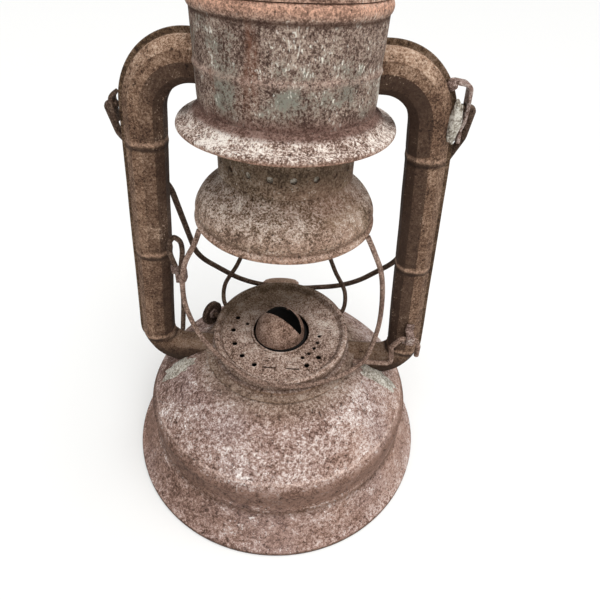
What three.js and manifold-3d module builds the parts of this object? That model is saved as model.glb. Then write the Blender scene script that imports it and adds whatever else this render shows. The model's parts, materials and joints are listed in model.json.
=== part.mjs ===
// Cold-blast kerosene lantern without its globe, in millimetres.
// +Z is up, the origin is the middle of the foot on the ground, the front faces -Y.
import * as THREE from 'three';
import { mergeVertices } from 'three/addons/utils/BufferGeometryUtils.js';
import Module from 'manifold-3d';

const wasm = await Module();
wasm.setup();

// Fits shared by all pieces
const GAP = 0.3;
const SHEET = 0.9;

// Fount: flared foot, short wall, rounded shoulder and domed top
const FOOT_R = 85;
const FOOT_EDGE = 2.4;
const FOOT_TOP = 19;
const HEM_WIDTH = 2.6;
const HEM_THICKNESS = 1.2;
const TANK_R = 73;
const SHOULDER_Z = 40.5;
const SHOULDER_R = 6;
const DOME_TOP = 66;
const DOME_BULGE = 1.25;
const BASE_PANEL_R = 72;
const BASE_PANEL_RISE = 3;
const BASE_RAISE = 1.4;

// Air chamber on the fount
const CHAMBER_R = 37.5;
const CHAMBER_FLOOR = 51;
const CHAMBER_TOP = 69.8;
const FLANGE_R = 41;
const DECK_WIDTH = 5.5;

// Side tubes, given by the corners of their centre lines
const TUBE_TOP_X = 53.1;
const TUBE_TOP_Z = 209;
const TUBE_FOOT_X = 68.8;
const TUBE_FOOT_Z = 60;
const TUBE_TOP_BEND = 20;
const TUBE_FOOT_BEND = 14;
const TUBE_REACH_IN = 1.4;
const TUBE_INNER = 8.4;
const TUBE_OUTER = 7.4;
const TUBE_DEPTH = 7.8;
const TUBE_WALL = 1;
const SEAM_WIDTH = 1.9;
const SEAM_HALF = 0.8;
const SEAM_TRACE = 0.2;
const RIB_HEIGHTS = [176, 121, 79];
const RIB_SWELL = 1.07;
const RIB_HALF = 1.6;

// Canopy: drum, skirt, dome, crown and cap
const DRUM_R = 33.2;
const DRUM_FOOT = 193.2;
const DRUM_TOP = 230;
const DRUM_BEAD = 1;
const DRUM_BEAD_Z = 227.2;
const DRUM_BAND = 0.5;
const DRUM_BAND_Z = 212.3;
const SKIRT_R = 41.8;
const SKIRT_LIP_Z = 188.6;
const SKIRT_TOP = 195.2;
const DOME_RISE = 14.6;
const CHIMNEY_R = 20;
const CHIMNEY_FOOT = 191;
const CROWN_R = 22;
const CROWN_TOP = 261.4;
const CROWN_VENTS = 10;
const CROWN_VENT_R = 2.4;
const CROWN_VENT_Z = 251;
const CAP_R = 26.4;
const CAP_LIP_Z = 255;
const CAP_HEIGHT = 17.8;

// Globe holder: bell above, pierced plate below, wires between
const BELL_R = 38.9;
const BELL_LIP_Z = 148;
const BELL_NECK_R = 26.2;
const BELL_NECK_Z = 168;
const BELL_NECK_TOP = 172;
const COLLAR_TOP = 187;
const COLLAR_VENTS = 20;
const COLLAR_VENT_R = 1.5;
const COLLAR_VENT_Z = 176.3;
const PLATE_Z = 76.2;
const PLATE_TILT = THREE.MathUtils.degToRad(6);
const PLATE_HOLE_R = 15;
const PLATE_FLOOR_R = 31.6;
const PLATE_R = 36.2;
const PLATE_RIM_H = 3.4;
const PLATE_SKIRT = 2.2;
const PLATE_RINGS = [
  { radius: 26.2, count: 18, hole: 1.5 },
  { radius: 21.4, count: 14, hole: 1.1 },
];
const PLATE_SLOT = { x: 5.6, y: -27.6, length: 7, width: 0.9 };
const GUARD_D = 2.4;
const GUARD_LEFT_END = [-34.6, -15.5];
const GUARD_LEFT_DROP = [
  [-37.5, -15, 139.5], [-42.6, -15.5, 129.5], [-45, -16, 118], [-45, -15, 101], [-38, -20, 88],
];
const GUARD_RIM_DEGREES = [-130, -105, -80, -55];
const GUARD_RIM_HEIGHTS = [81, 78, 76, 73];
const GUARD_LIFT_X = [36, 44];
const GUARD_LIFT_Y = -22;
const GUARD_RIGHT_RISE = [[48.5, -12, 90], [48.3, -12, 108], [45, -12, 127.5], [40, -12.3, 139]];
const GUARD_RIGHT_END = [36, -12.5];
const REAR_GUARD_TOP = [17, 33.4];
const REAR_GUARD_DROP = [[21, 35.5, 114], [28, 33.5, 95], [34.6, 26.5, 85], [34.6, 21, 77.4]];
const REAR_GUARD_FOOT = [31.5, 17.5];
const REAR_GUARD_TUCK = 2.1;

// Burner, wick and its drive
const BURNER_R = 11.6;
const BURNER_FOOT = 48;
const BURNER_TOP = 76;
const CONE_R = 13.9;
const WICK_HALF = 6.8;
const WICK_THICKNESS = 1.6;
const WICK_TRAVEL = 7.2;
const WICK_TOP = 82;
const WICK_TUBE_WALL = 0.6;
const WICK_TUBE_FOOT = 32;
const WICK_TUBE_TOP = 80;
const SLOT_HALF_LENGTH = 11;
const SLOT_HALF_WIDTH = 4.4;
const SLOT_SHIFT = 3.3;
const DRIVE_AZIMUTH = THREE.MathUtils.degToRad(151);
const DRIVE_OFFSET = 5.6;
const SHAFT_Z = 71.7;
const SHAFT_R = 1.5;
const SPROCKET_TEETH = 8;
const SPROCKET_WIDTH = 2;
const SPROCKET_SPREAD = 3.5;
const KNOB_R = 7;
const KNOB_START = 42.4;
const KNOB_WIDTH = 3.2;

// Filler on the rear of the dome
const FILLER_AZIMUTH = THREE.MathUtils.degToRad(94);
const FILLER_RADIUS = 57;
const FILLER_TILT = THREE.MathUtils.degToRad(33);
const NECK_R = 9.6;
const NECK_TOP = 8;
const NECK_DEPTH = 7;
const GASKET_THICKNESS = 1.2;
const GASKET_BORE = 7.4;
const FILLER_CAP_R = 12;
const FILLER_CAP_FOOT = 2.8;
const FILLER_CAP_ROOF = 1.1;
const FILLER_CAP_CROWN = 2;
const FILLER_CAP_FLUTES = 24;

// Bail, ears, lift lever and guide
const PIVOT_Z = 197;
const EAR_X = 66.6;
const EAR_WIDTH = 5.6;
const EAR_TOP = 205.2;
const EAR_SEAT_ANGLE = THREE.MathUtils.degToRad(34);
const EAR_FOLD = 189.6;
const EAR_FOOT = 184.6;
const EAR_SHEET = 1.4;
// The left ear is pressed flat on its tube, and its bail hole sits lower.
const LEFT_PIVOT_Z = 191;
const LEFT_EAR_X = 66.4;
const LEFT_EAR_SEAT_ANGLE = THREE.MathUtils.degToRad(12);
const LEFT_EAR_TOP = 193.6;
const LEFT_EAR_FOLD = 188.2;
const LEFT_EAR_FOOT = 184.5;
const LEFT_PIN_TAIL = 1;
const BAIL_D = 3;
const BAIL_HANG = THREE.MathUtils.degToRad(20);
const BAIL_LENGTH = 131;
const BAIL_HALF_WIDTH = 58;
const BAIL_SHIFT = 2;
const BAIL_PIN_TAIL = 2.2;
const BAIL_CLEARANCE = 0.5;
const BAIL_BENDS = [2, 6, 20, 24, 40, 60];
const LEVER_D = 2.6;
const LEVER_Y = -12.5;
const LEVER_Z = 88;
const LEVER_CRANK = 18.6;
const LEVER_TOE_X = 39;
const LEVER_HEEL_X = 59.5;
const LEVER_NECK_X = 57.5;
const LEVER_JOURNAL_X = [61.5, 68.8];
const LEVER_TIP_X = 71.4;
const LEVER_TIP_DROP = 11.5;
const LEVER_BEND = 2.6;
const STAPLE_X = 65.6;
const STAPLE_PAD = 6.5;
const STAPLE_WIDTH = 4;
const STAPLE_SHEET = 1;
const GUIDE_D = 2.4;
const GUIDE_X = -48.5;
const GUIDE_Y = -6;
const GUIDE_FOOT = 80;
const GUIDE_HEIGHTS = [100, 130];
const GUIDE_EYE = [[-0.6, 0, 136.5], [-3, -0.4, 138.2], [-3.8, -2, 134], [-1.4, -4, 125]];
const CLIP_Z = 115;
const CLIP_HEIGHT = 5;
const CLIP_ROOT = [-54.2, -1.5];
const CLIP_REACH = 2.2;

// Roundness of turned and swept pieces
const WIDE_SEGMENTS = 28;
const SMALL_SEGMENTS = 16;
const WIRE_SIDES = 6;
const HOLE_SIDES = 6;

const rust = (color, roughness = 0.9, metalness = 0.3) =>
  new THREE.MeshStandardMaterial({ color, roughness, metalness });
const MATERIALS = {
  fount: rust(0x8d6f66),
  tube: rust(0x6a4d3c),
  canopy: rust(0x7a6455),
  bead: rust(0x9a6a4e),
  wire: rust(0x5a4438),
  paleWire: rust(0x8a6a5c),
  plate: rust(0x8a7166),
  burner: rust(0x8f6c5c),
  strap: rust(0x8a8377, 0.8, 0.5),
  wick: new THREE.MeshStandardMaterial({ color: 0x9a8f7a, roughness: 1, metalness: 0 }),
  gasket: new THREE.MeshStandardMaterial({ color: 0x2a2420, roughness: 0.9, metalness: 0 }),
};

const lantern = new THREE.Group();

function addPart(name, geometry, material, parent = lantern) {
  const mesh = new THREE.Mesh(geometry, material);
  mesh.name = name;
  parent.add(mesh);
  return mesh;
}

// Merges shared corners, drops collapsed triangles and turns all faces outwards.
function closedBody(source) {
  const bare = source.clone();
  bare.deleteAttribute('normal');
  bare.deleteAttribute('uv');
  const merged = mergeVertices(bare, 1e-3);
  const corner = (i) => new THREE.Vector3().fromBufferAttribute(merged.attributes.position, i);
  const kept = [];
  let volume = 0;
  for (let i = 0; i < merged.index.count; i += 3) {
    const [a, b, c] = [0, 1, 2].map((k) => merged.index.getX(i + k));
    if (a === b || b === c || c === a) continue;
    kept.push(a, b, c);
    volume += corner(a).dot(corner(b).cross(corner(c)));
  }
  if (volume < 0) kept.reverse();
  merged.setIndex(kept);
  merged.computeVertexNormals();
  return merged;
}

function solidOf(geometry) {
  const body = closedBody(geometry);
  return new wasm.Manifold(new wasm.Mesh({
    numProp: 3,
    vertProperties: new Float32Array(body.attributes.position.array),
    triVerts: new Uint32Array(body.index.array),
  }));
}

function geometryOf(solid) {
  const mesh = solid.getMesh();
  const geometry = new THREE.BufferGeometry();
  geometry.setAttribute('position', new THREE.Float32BufferAttribute(mesh.vertProperties, 3));
  geometry.setIndex(Array.from(mesh.triVerts));
  return closedBody(geometry);
}

const cut = (geometry, tools) =>
  geometryOf(tools.reduce((solid, tool) => solid.subtract(solidOf(tool)), solidOf(geometry)));

// Turns a closed loop of [radius, height] points about Z.
function turned(loop, segments) {
  const points = [...loop, loop[0]].map(([r, z]) => new THREE.Vector2(r, z));
  return closedBody(new THREE.LatheGeometry(points, segments).rotateX(Math.PI / 2));
}

// Moves a profile that runs from bottom to top towards its inner side.
function offsetProfile(profile, distance) {
  const points = profile.map(([r, z]) => new THREE.Vector2(r, z));
  const normals = points.slice(1).map((p, i) => {
    const along = p.clone().sub(points[i]).normalize();
    return new THREE.Vector2(-along.y, along.x);
  });
  return points.map((p, i) => {
    const before = normals[Math.max(0, i - 1)];
    const after = normals[Math.min(normals.length - 1, i)];
    const mean = before.clone().add(after).normalize();
    const moved = p.clone().addScaledVector(mean, distance / Math.max(0.6, mean.dot(after)));
    return [Math.max(0, moved.x), moved.y];
  });
}

// Keeps the ends and every second point between, for the plainer inside of a wall.
const plainer = (profile) => profile.filter((_, i) => i % 2 === 0 || i === profile.length - 1);

const shell = (profile, wall, segments) =>
  turned([...profile, ...plainer(offsetProfile(profile, wall)).reverse()], segments);

// Puts the points of a flat outline in anticlockwise order.
function anticlockwise(loop) {
  const flat = loop.map(([u, v]) => new THREE.Vector2(u, v));
  return loop.length && THREE.ShapeUtils.isClockWise(flat) ? [...loop].reverse() : loop;
}

// Runs an outline along a path. The outline's first axis starts along startNormal.
function sweep(path, section, { bore: hollow = [], startNormal, shapeAt = (points) => points } = {}) {
  const outline = anticlockwise(section);
  const bore = anticlockwise(hollow);
  const tangents = path.map((p, i) => {
    const next = path[Math.min(i + 1, path.length - 1)];
    const last = path[Math.max(i - 1, 0)];
    return next.clone().sub(last).normalize();
  });
  const normal = startNormal.clone().addScaledVector(tangents[0], -startNormal.dot(tangents[0]));
  const positions = [];
  const loops = [outline, bore];
  const ringSize = outline.length + bore.length;
  path.forEach((p, i) => {
    normal.addScaledVector(tangents[i], -normal.dot(tangents[i])).normalize();
    const side = tangents[i].clone().cross(normal);
    loops.forEach((loop, k) => shapeAt(loop, i, k).forEach(([u, v]) => {
      positions.push(...p.clone().addScaledVector(normal, u).addScaledVector(side, v).toArray());
    }));
  });
  const index = [];
  const wallBetween = (start, count, flip) => {
    for (let ring = 0; ring + 1 < path.length; ring += 1) {
      for (let k = 0; k < count; k += 1) {
        const a = ring * ringSize + start + k;
        const b = ring * ringSize + start + ((k + 1) % count);
        const quad = [a, b, b + ringSize, a, b + ringSize, a + ringSize];
        index.push(...(flip ? quad.reverse() : quad));
      }
    }
  };
  wallBetween(0, outline.length, false);
  if (bore.length) wallBetween(outline.length, bore.length, true);
  const flat = loops.map((loop) => loop.map(([u, v]) => new THREE.Vector2(u, v)));
  const faces = THREE.ShapeUtils.triangulateShape(flat[0], bore.length ? [flat[1]] : []);
  const end = (path.length - 1) * ringSize;
  faces.forEach(([a, b, c]) => index.push(c, b, a, a + end, b + end, c + end));
  const geometry = new THREE.BufferGeometry();
  geometry.setAttribute('position', new THREE.Float32BufferAttribute(positions, 3));
  geometry.setIndex(index);
  return closedBody(geometry);
}

// Rounds the inner corners of a polyline with arcs of the given radius.
function roundedPath(corners, radius, steps = 5) {
  const points = [corners[0].clone()];
  for (let i = 1; i + 1 < corners.length; i += 1) {
    const back = corners[i - 1].clone().sub(corners[i]);
    const ahead = corners[i + 1].clone().sub(corners[i]);
    const half = back.angleTo(ahead) / 2;
    const bend = Array.isArray(radius) ? radius[i - 1] : radius;
    const roomBefore = (i === 1 ? 0.98 : 0.5) * back.length();
    const roomAfter = (i + 2 === corners.length ? 0.98 : 0.5) * ahead.length();
    const reach = Math.min(bend / Math.tan(half), roomBefore, roomAfter);
    const start = corners[i].clone().addScaledVector(back.normalize(), reach);
    const stop = corners[i].clone().addScaledVector(ahead.normalize(), reach);
    const middle = back.add(ahead).normalize();
    const centre = corners[i].clone().addScaledVector(middle, reach / Math.cos(half));
    const from = start.clone().sub(centre);
    const to = stop.clone().sub(centre);
    const turn = from.angleTo(to);
    for (let k = 0; k <= steps; k += 1) {
      const t = k / steps;
      const arm = from.clone().multiplyScalar(Math.sin((1 - t) * turn));
      arm.addScaledVector(to, Math.sin(t * turn)).divideScalar(Math.sin(turn));
      points.push(centre.clone().add(arm));
    }
  }
  points.push(corners[corners.length - 1].clone());
  return points;
}

const vector = (x, y, z) => new THREE.Vector3(x, y, z);

function circle(radius, sides) {
  return Array.from({ length: sides }, (_, k) => {
    const angle = ((k + 0.5) / sides) * 2 * Math.PI;
    return [radius * Math.cos(angle), radius * Math.sin(angle)];
  });
}

const rectangle = (u, v) => [[-u, -v], [u, -v], [u, v], [-u, v]].map(([a, b]) => [a / 2, b / 2]);

function stadium(halfLength, halfWidth, steps = 6) {
  const straight = halfLength - halfWidth;
  return [1, -1].flatMap((end) => Array.from({ length: steps + 1 }, (_, k) => {
    const angle = (k / steps - 0.5) * Math.PI;
    return [end * (straight + halfWidth * Math.cos(angle)), end * halfWidth * Math.sin(angle)];
  }));
}

// A short bar between two points, used for rods and for drilling holes.
function rod(start, stop, radius, sides) {
  const along = stop.clone().sub(start);
  const across = Math.abs(along.z) > 0.9 * along.length() ? vector(1, 0, 0) : vector(0, 0, 1);
  return sweep([start, stop], circle(radius, sides), { startNormal: across });
}

function wire(path, diameter) {
  const first = path[1].clone().sub(path[0]).normalize();
  const across = Math.abs(first.z) > 0.9 ? vector(1, 0, 0) : vector(0, 0, 1);
  return sweep(path, circle(diameter / 2, WIRE_SIDES), { startNormal: across });
}

// Drills a ring of radial holes through a turned wall.
const radialDrills = (count, height, radius, hole, depth) => Array.from({ length: count }, (_, k) => {
  const angle = ((k + 0.5) / count) * 2 * Math.PI;
  const out = vector(Math.cos(angle), Math.sin(angle), 0);
  const start = out.clone().multiplyScalar(radius - depth).setZ(height);
  return rod(start, out.multiplyScalar(radius + depth).setZ(height), hole, HOLE_SIDES);
});

// Height of the domed fount top at a radius.
function domeHeight(radius) {
  const inner = CHAMBER_R + GAP;
  const outer = TANK_R - SHOULDER_R / 3;
  const share = Math.min(1, Math.max(0, (radius - inner) / (outer - inner)));
  return SHOULDER_Z + (DOME_TOP - SHOULDER_Z) * (1 - share ** DOME_BULGE);
}

// Section of a side tube: flat towards the globe, ridged in front and behind, seam on the outside.
const tubeHalf = [
  [-TUBE_INNER, 0.4 * TUBE_DEPTH],
  [-0.66 * TUBE_INNER, 0.88 * TUBE_DEPTH],
  [-0.06 * TUBE_INNER, TUBE_DEPTH],
  [0.46 * TUBE_OUTER, 0.92 * TUBE_DEPTH],
  [0.95 * TUBE_OUTER, 0.4 * TUBE_DEPTH],
];
const seamHalf = [[TUBE_OUTER, SEAM_HALF], [TUBE_OUTER + SEAM_WIDTH, SEAM_HALF]];
const mirrored = (half) => [...half, ...half.map(([u, v]) => [u, -v]).reverse()];
const tubeOutline = mirrored([...tubeHalf, ...seamHalf]);
const boreOutline = mirrored(tubeHalf.filter((_, i) => i % 2 === 0).map(([u, v]) => {
  const size = Math.hypot(u, v);
  return [u * (1 - TUBE_WALL / size), v * (1 - TUBE_WALL / size)];
}));
const grown = (outline, by) => outline.map(([u, v]) => {
  const size = Math.hypot(u, v);
  return [u * (1 + by / size), v * (1 + by / size)];
});

// The seam dies out where the tube leaves its straight run for the foot elbow.
const withoutSeam = (outline) => outline.map(([u, v]) => [Math.min(u, TUBE_OUTER + SEAM_TRACE), v]);

function tubePath(side) {
  const corners = [
    [DRUM_R - TUBE_REACH_IN, TUBE_TOP_Z],
    [TUBE_TOP_X, TUBE_TOP_Z],
    [TUBE_FOOT_X, TUBE_FOOT_Z],
    [CHAMBER_R - TUBE_REACH_IN, TUBE_FOOT_Z],
  ].map(([x, z]) => vector(side * x, 0, z));
  const bends = roundedPath(corners, [TUBE_TOP_BEND, TUBE_FOOT_BEND], 5);
  const slope = (TUBE_FOOT_X - TUBE_TOP_X) / (TUBE_TOP_Z - TUBE_FOOT_Z);
  const ribs = RIB_HEIGHTS.flatMap((height) => [1, 0, -1].map((k) => {
    const z = height + k * RIB_HALF;
    return vector(side * (TUBE_TOP_X + (TUBE_TOP_Z - z) * slope), 0, z);
  }));
  const firstHalf = bends.filter((_, i) => i < bends.length / 2);
  const lastHalf = bends.filter((_, i) => i >= bends.length / 2);
  return [...firstHalf, ...ribs, ...lastHalf];
}

function tubeShape(path) {
  const foot = Math.min(...RIB_HEIGHTS);
  const isRib = (p) => RIB_HEIGHTS.some((height) => Math.abs(p.z - height) < 0.01);
  const isFoot = (p) => p.z < foot;
  return (outline, i, loop) => {
    const points = loop === 0 && isFoot(path[i]) ? withoutSeam(outline) : outline;
    const swell = loop === 0 && isRib(path[i]) ? RIB_SWELL : 1;
    return points.map(([u, v]) => [u * swell, v * swell]);
  };
}

const sides = [{ name: 'left', sign: -1 }, { name: 'right', sign: 1 }];
sides.forEach(({ name, sign }) => {
  const path = tubePath(sign);
  const options = { bore: boreOutline, startNormal: vector(0, 0, 1), shapeAt: tubeShape(path) };
  addPart(`${name}_tube`, sweep(path, tubeOutline, options), MATERIALS.tube);
});

// Openings for the tubes in the drum, the chamber and the dome
const ductOpenings = (height, outline, from, to) => sides.map(({ sign }) => sweep(
  [vector(sign * from, 0, height), vector(sign * to, 0, height)],
  grown(outline, GAP),
  { startNormal: vector(0, 0, height > DOME_TOP ? 1 : -1) },
));
const drumDucts = ductOpenings(TUBE_TOP_Z, tubeOutline, CHIMNEY_R + SHEET, DRUM_R + DRUM_BEAD);
const footDucts = ductOpenings(
  TUBE_FOOT_Z, withoutSeam(tubeOutline), CHAMBER_R / 2, TUBE_FOOT_X - TUBE_FOOT_BEND / 2,
);

// Filler: a place on the dome and an axis that leans outwards
const fillerOut = vector(Math.cos(FILLER_AZIMUTH), Math.sin(FILLER_AZIMUTH), 0);
const fillerAxis = fillerOut.clone().multiplyScalar(Math.sin(FILLER_TILT));
fillerAxis.z = Math.cos(FILLER_TILT);
const fillerPoint = fillerOut.clone().multiplyScalar(FILLER_RADIUS).setZ(domeHeight(FILLER_RADIUS));
const alongFiller = (distance) => fillerPoint.clone().addScaledVector(fillerAxis, distance);
const filler = new THREE.Group();
filler.position.copy(fillerPoint);
filler.quaternion.setFromUnitVectors(vector(0, 0, 1), fillerAxis);
lantern.add(filler);

function makeFountShell() {
  const flare = Array.from({ length: 5 }, (_, k) => {
    const t = k / 4;
    const r = THREE.MathUtils.lerp(FOOT_R - 1, TANK_R + 0.8, t);
    return [r, FOOT_EDGE + (FOOT_TOP - FOOT_EDGE) * t ** 1.3];
  });
  const shoulder = [0, 1, 2].map((k) => {
    const angle = (k / 3) * (Math.PI / 3);
    const r = TANK_R - SHOULDER_R * (1 - Math.cos(angle));
    return [r, SHOULDER_Z - SHOULDER_R * (0.9 - Math.sin(angle))];
  });
  const domeFoot = TANK_R - SHOULDER_R / 3;
  const dome = Array.from({ length: 6 }, (_, k) => {
    const r = THREE.MathUtils.lerp(domeFoot, CHAMBER_R + GAP, (k + 0.4) / 5.4);
    return [r, domeHeight(r)];
  });
  const outer = [[FOOT_R, 0], [FOOT_R, FOOT_EDGE], ...flare, [TANK_R, FOOT_TOP + 2.5], ...shoulder, ...dome];
  const lining = plainer(offsetProfile(outer, SHEET).slice(2));
  const inner = lining.map(([r, z]) => [Math.max(r, CHAMBER_R + GAP), z]);
  const hem = [[FOOT_R - HEM_WIDTH, HEM_THICKNESS], [FOOT_R - HEM_WIDTH, 0]];
  const body = turned([...outer, ...inner.reverse(), ...hem], WIDE_SEGMENTS);
  const fillerDrill = rod(alongFiller(-NECK_DEPTH), alongFiller(NECK_TOP), NECK_R + GAP, SMALL_SEGMENTS);
  return cut(body, [...footDucts, fillerDrill]);
}
addPart('fount_shell', makeFountShell(), MATERIALS.fount);

const baseEdge = FOOT_R - HEM_WIDTH - GAP;
addPart('fount_base', turned([
  [0, BASE_RAISE + BASE_PANEL_RISE],
  [BASE_PANEL_R - BASE_PANEL_RISE, BASE_RAISE + BASE_PANEL_RISE],
  [BASE_PANEL_R, BASE_RAISE],
  [baseEdge, BASE_RAISE],
  [baseEdge, BASE_RAISE + SHEET],
  [BASE_PANEL_R + SHEET / 2, BASE_RAISE + SHEET],
  [BASE_PANEL_R - BASE_PANEL_RISE + SHEET / 2, BASE_RAISE + BASE_PANEL_RISE + SHEET],
  [0, BASE_RAISE + BASE_PANEL_RISE + SHEET],
], WIDE_SEGMENTS), MATERIALS.fount);

// Wick drive: a shaft beside the wick, running out over the dome to its knob
const driveOut = vector(Math.cos(DRIVE_AZIMUTH), Math.sin(DRIVE_AZIMUTH), 0);
const driveSide = vector(-driveOut.y, driveOut.x, 0);
const onShaft = (distance) => driveOut.clone().multiplyScalar(distance)
  .addScaledVector(driveSide, DRIVE_OFFSET).setZ(SHAFT_Z);
const shaftDrill = rod(onShaft(0), onShaft(KNOB_START), SHAFT_R + GAP, 12);

const flangeZ = DOME_TOP + GAP + 0.1;
addPart('air_chamber', cut(turned([
  [CHAMBER_R, CHAMBER_FLOOR],
  [CHAMBER_R, flangeZ],
  [FLANGE_R, flangeZ],
  [FLANGE_R, flangeZ + SHEET],
  [CHAMBER_R, flangeZ + SHEET],
  [CHAMBER_R, CHAMBER_TOP],
  [CHAMBER_R - DECK_WIDTH, CHAMBER_TOP],
  [CHAMBER_R - DECK_WIDTH, CHAMBER_TOP - SHEET],
  [CHAMBER_R - SHEET, CHAMBER_TOP - SHEET],
  [CHAMBER_R - SHEET, CHAMBER_FLOOR + SHEET],
  [BURNER_R + GAP, CHAMBER_FLOOR + SHEET],
  [BURNER_R + GAP, CHAMBER_FLOOR],
], WIDE_SEGMENTS), footDucts), MATERIALS.fount);

// Canopy
const drumProfile = [
  [DRUM_R - 0.8, DRUM_FOOT],
  [DRUM_R - 0.2, DRUM_FOOT + 4],
  [DRUM_R, DRUM_FOOT + 10],
  [DRUM_R, DRUM_BAND_Z - 1.8],
  [DRUM_R + DRUM_BAND, DRUM_BAND_Z],
  [DRUM_R, DRUM_BAND_Z + 1.8],
  [DRUM_R, DRUM_BEAD_Z - 2.6],
  [DRUM_R + 0.65 * DRUM_BEAD, DRUM_BEAD_Z - 1.5],
  [DRUM_R + DRUM_BEAD, DRUM_BEAD_Z],
  [DRUM_R + 0.8 * DRUM_BEAD, DRUM_BEAD_Z + 1.5],
  [DRUM_R + 0.2, DRUM_TOP],
];
const drumLining = [[DRUM_R - SHEET, DRUM_TOP], [DRUM_R - 0.8 - SHEET, DRUM_FOOT]];
addPart('canopy_drum', cut(turned([...drumProfile, ...drumLining], WIDE_SEGMENTS), drumDucts), MATERIALS.canopy);

const skirtSeat = DRUM_R + GAP;
addPart('canopy_skirt', turned([
  [skirtSeat, SKIRT_TOP],
  [skirtSeat + 2.6, SKIRT_TOP - 1.8],
  [skirtSeat + 5.6, SKIRT_TOP - 4.6],
  [SKIRT_R, SKIRT_LIP_Z],
  [SKIRT_R - 0.7, SKIRT_LIP_Z - 1],
  [SKIRT_R - 1.5, SKIRT_LIP_Z - 0.4],
  [skirtSeat + 5, SKIRT_TOP - 5.6],
  [skirtSeat + 2, SKIRT_TOP - 3],
  [skirtSeat, SKIRT_TOP - 2],
], WIDE_SEGMENTS), MATERIALS.canopy);

const domeSeat = DRUM_TOP + GAP;
const domeWidth = DRUM_R - CHIMNEY_R - SHEET;
addPart('canopy_dome', shell([0, 0.2, 0.45, 0.7, 1].map((t) => [
  DRUM_R + 0.2 - domeWidth * t ** 1.6,
  domeSeat + DOME_RISE * Math.sin((t * Math.PI) / 2),
]), SHEET, WIDE_SEGMENTS), MATERIALS.canopy);
addPart('inner_chimney', shell([
  [CHIMNEY_R, CHIMNEY_FOOT],
  [CHIMNEY_R, domeSeat + DOME_RISE],
], SHEET, SMALL_SEGMENTS), MATERIALS.canopy);

const crownFoot = domeSeat + DOME_RISE + GAP;
addPart('crown_collar', cut(shell([
  [CROWN_R, crownFoot],
  [CROWN_R, CROWN_TOP],
], SHEET, SMALL_SEGMENTS), radialDrills(CROWN_VENTS, CROWN_VENT_Z, CROWN_R, CROWN_VENT_R, 2)), MATERIALS.canopy);
addPart('chimney_cap', shell([
  [CAP_R - 0.6, CAP_LIP_Z],
  [CAP_R, CAP_LIP_Z + 1.6],
  ...[0.4, 0.6, 0.78, 0.92, 1].map((t) => [
    CAP_R * Math.cos((t * Math.PI) / 2),
    CAP_LIP_Z + CAP_HEIGHT * Math.sin((t * Math.PI) / 2),
  ]),
], SHEET, SMALL_SEGMENTS), MATERIALS.canopy);

// Globe holder
const bellRise = BELL_NECK_Z - BELL_LIP_Z;
addPart('bell', shell([
  [BELL_R - 1.4, BELL_LIP_Z],
  [BELL_R - 0.2, BELL_LIP_Z + 0.4],
  [BELL_R, BELL_LIP_Z + 1.6],
  [BELL_R - 0.9, BELL_LIP_Z + 3],
  [BELL_R - 0.6, BELL_LIP_Z + 0.3 * bellRise],
  [BELL_R - 2.4, BELL_LIP_Z + 0.5 * bellRise],
  [BELL_R - 5.2, BELL_LIP_Z + 0.68 * bellRise],
  [BELL_NECK_R + 2, BELL_LIP_Z + 0.86 * bellRise],
  [BELL_NECK_R, BELL_NECK_Z],
  [BELL_NECK_R, BELL_NECK_TOP],
], SHEET, WIDE_SEGMENTS), MATERIALS.canopy);
const collarR = BELL_NECK_R + GAP + SHEET;
addPart('bell_collar', cut(shell([
  [collarR, BELL_NECK_Z + 1],
  [collarR, COLLAR_TOP],
], SHEET, WIDE_SEGMENTS), radialDrills(
  COLLAR_VENTS, COLLAR_VENT_Z, collarR, COLLAR_VENT_R, 2,
)), MATERIALS.canopy);

function makeGlobePlate() {
  const plate = turned([
    [PLATE_HOLE_R, 1.4],
    [PLATE_HOLE_R + SHEET, 1.4],
    [PLATE_HOLE_R + 1.4, 0],
    [PLATE_FLOOR_R, 0],
    [PLATE_FLOOR_R + 1.6, PLATE_RIM_H - 0.6],
    [PLATE_FLOOR_R + 2.9, PLATE_RIM_H],
    [PLATE_R - 0.4, PLATE_RIM_H - 0.8],
    [PLATE_R, 0.2],
    [PLATE_R, -PLATE_SKIRT],
    [PLATE_R - SHEET, -PLATE_SKIRT],
    [PLATE_R - SHEET, 0.2],
    [PLATE_R - 1.3, PLATE_RIM_H - 1.5],
    [PLATE_FLOOR_R + 2.7, PLATE_RIM_H - 1],
    [PLATE_FLOOR_R + 0.6, -SHEET],
    [PLATE_HOLE_R + 0.7, -SHEET],
    [PLATE_HOLE_R, 0.3],
  ], WIDE_SEGMENTS);
  const holes = PLATE_RINGS.flatMap(({ radius, count, hole }) => Array.from({ length: count }, (_, k) => {
    const angle = ((k + 0.5) / count) * 2 * Math.PI;
    const at = vector(radius * Math.cos(angle), radius * Math.sin(angle), 0);
    const inFront = Math.abs(at.x) < PLATE_SLOT.x + PLATE_SLOT.length / 2 && at.y < -20 && radius > 24;
    return inFront ? [] : [rod(at.clone().setZ(-2), at.clone().setZ(2), hole, HOLE_SIDES)];
  }).flat());
  const slots = [-1, 1].map((sign) => {
    const tool = new THREE.BoxGeometry(PLATE_SLOT.length, PLATE_SLOT.width, 4);
    return tool.translate(sign * PLATE_SLOT.x, PLATE_SLOT.y, 0);
  });
  return cut(plate, [...holes, ...slots]);
}
const plateSeat = new THREE.Group();
plateSeat.position.z = PLATE_Z;
plateSeat.rotation.x = PLATE_TILT;
lantern.add(plateSeat);
addPart('globe_plate', makeGlobePlate(), MATERIALS.plate, plateSeat);

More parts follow.
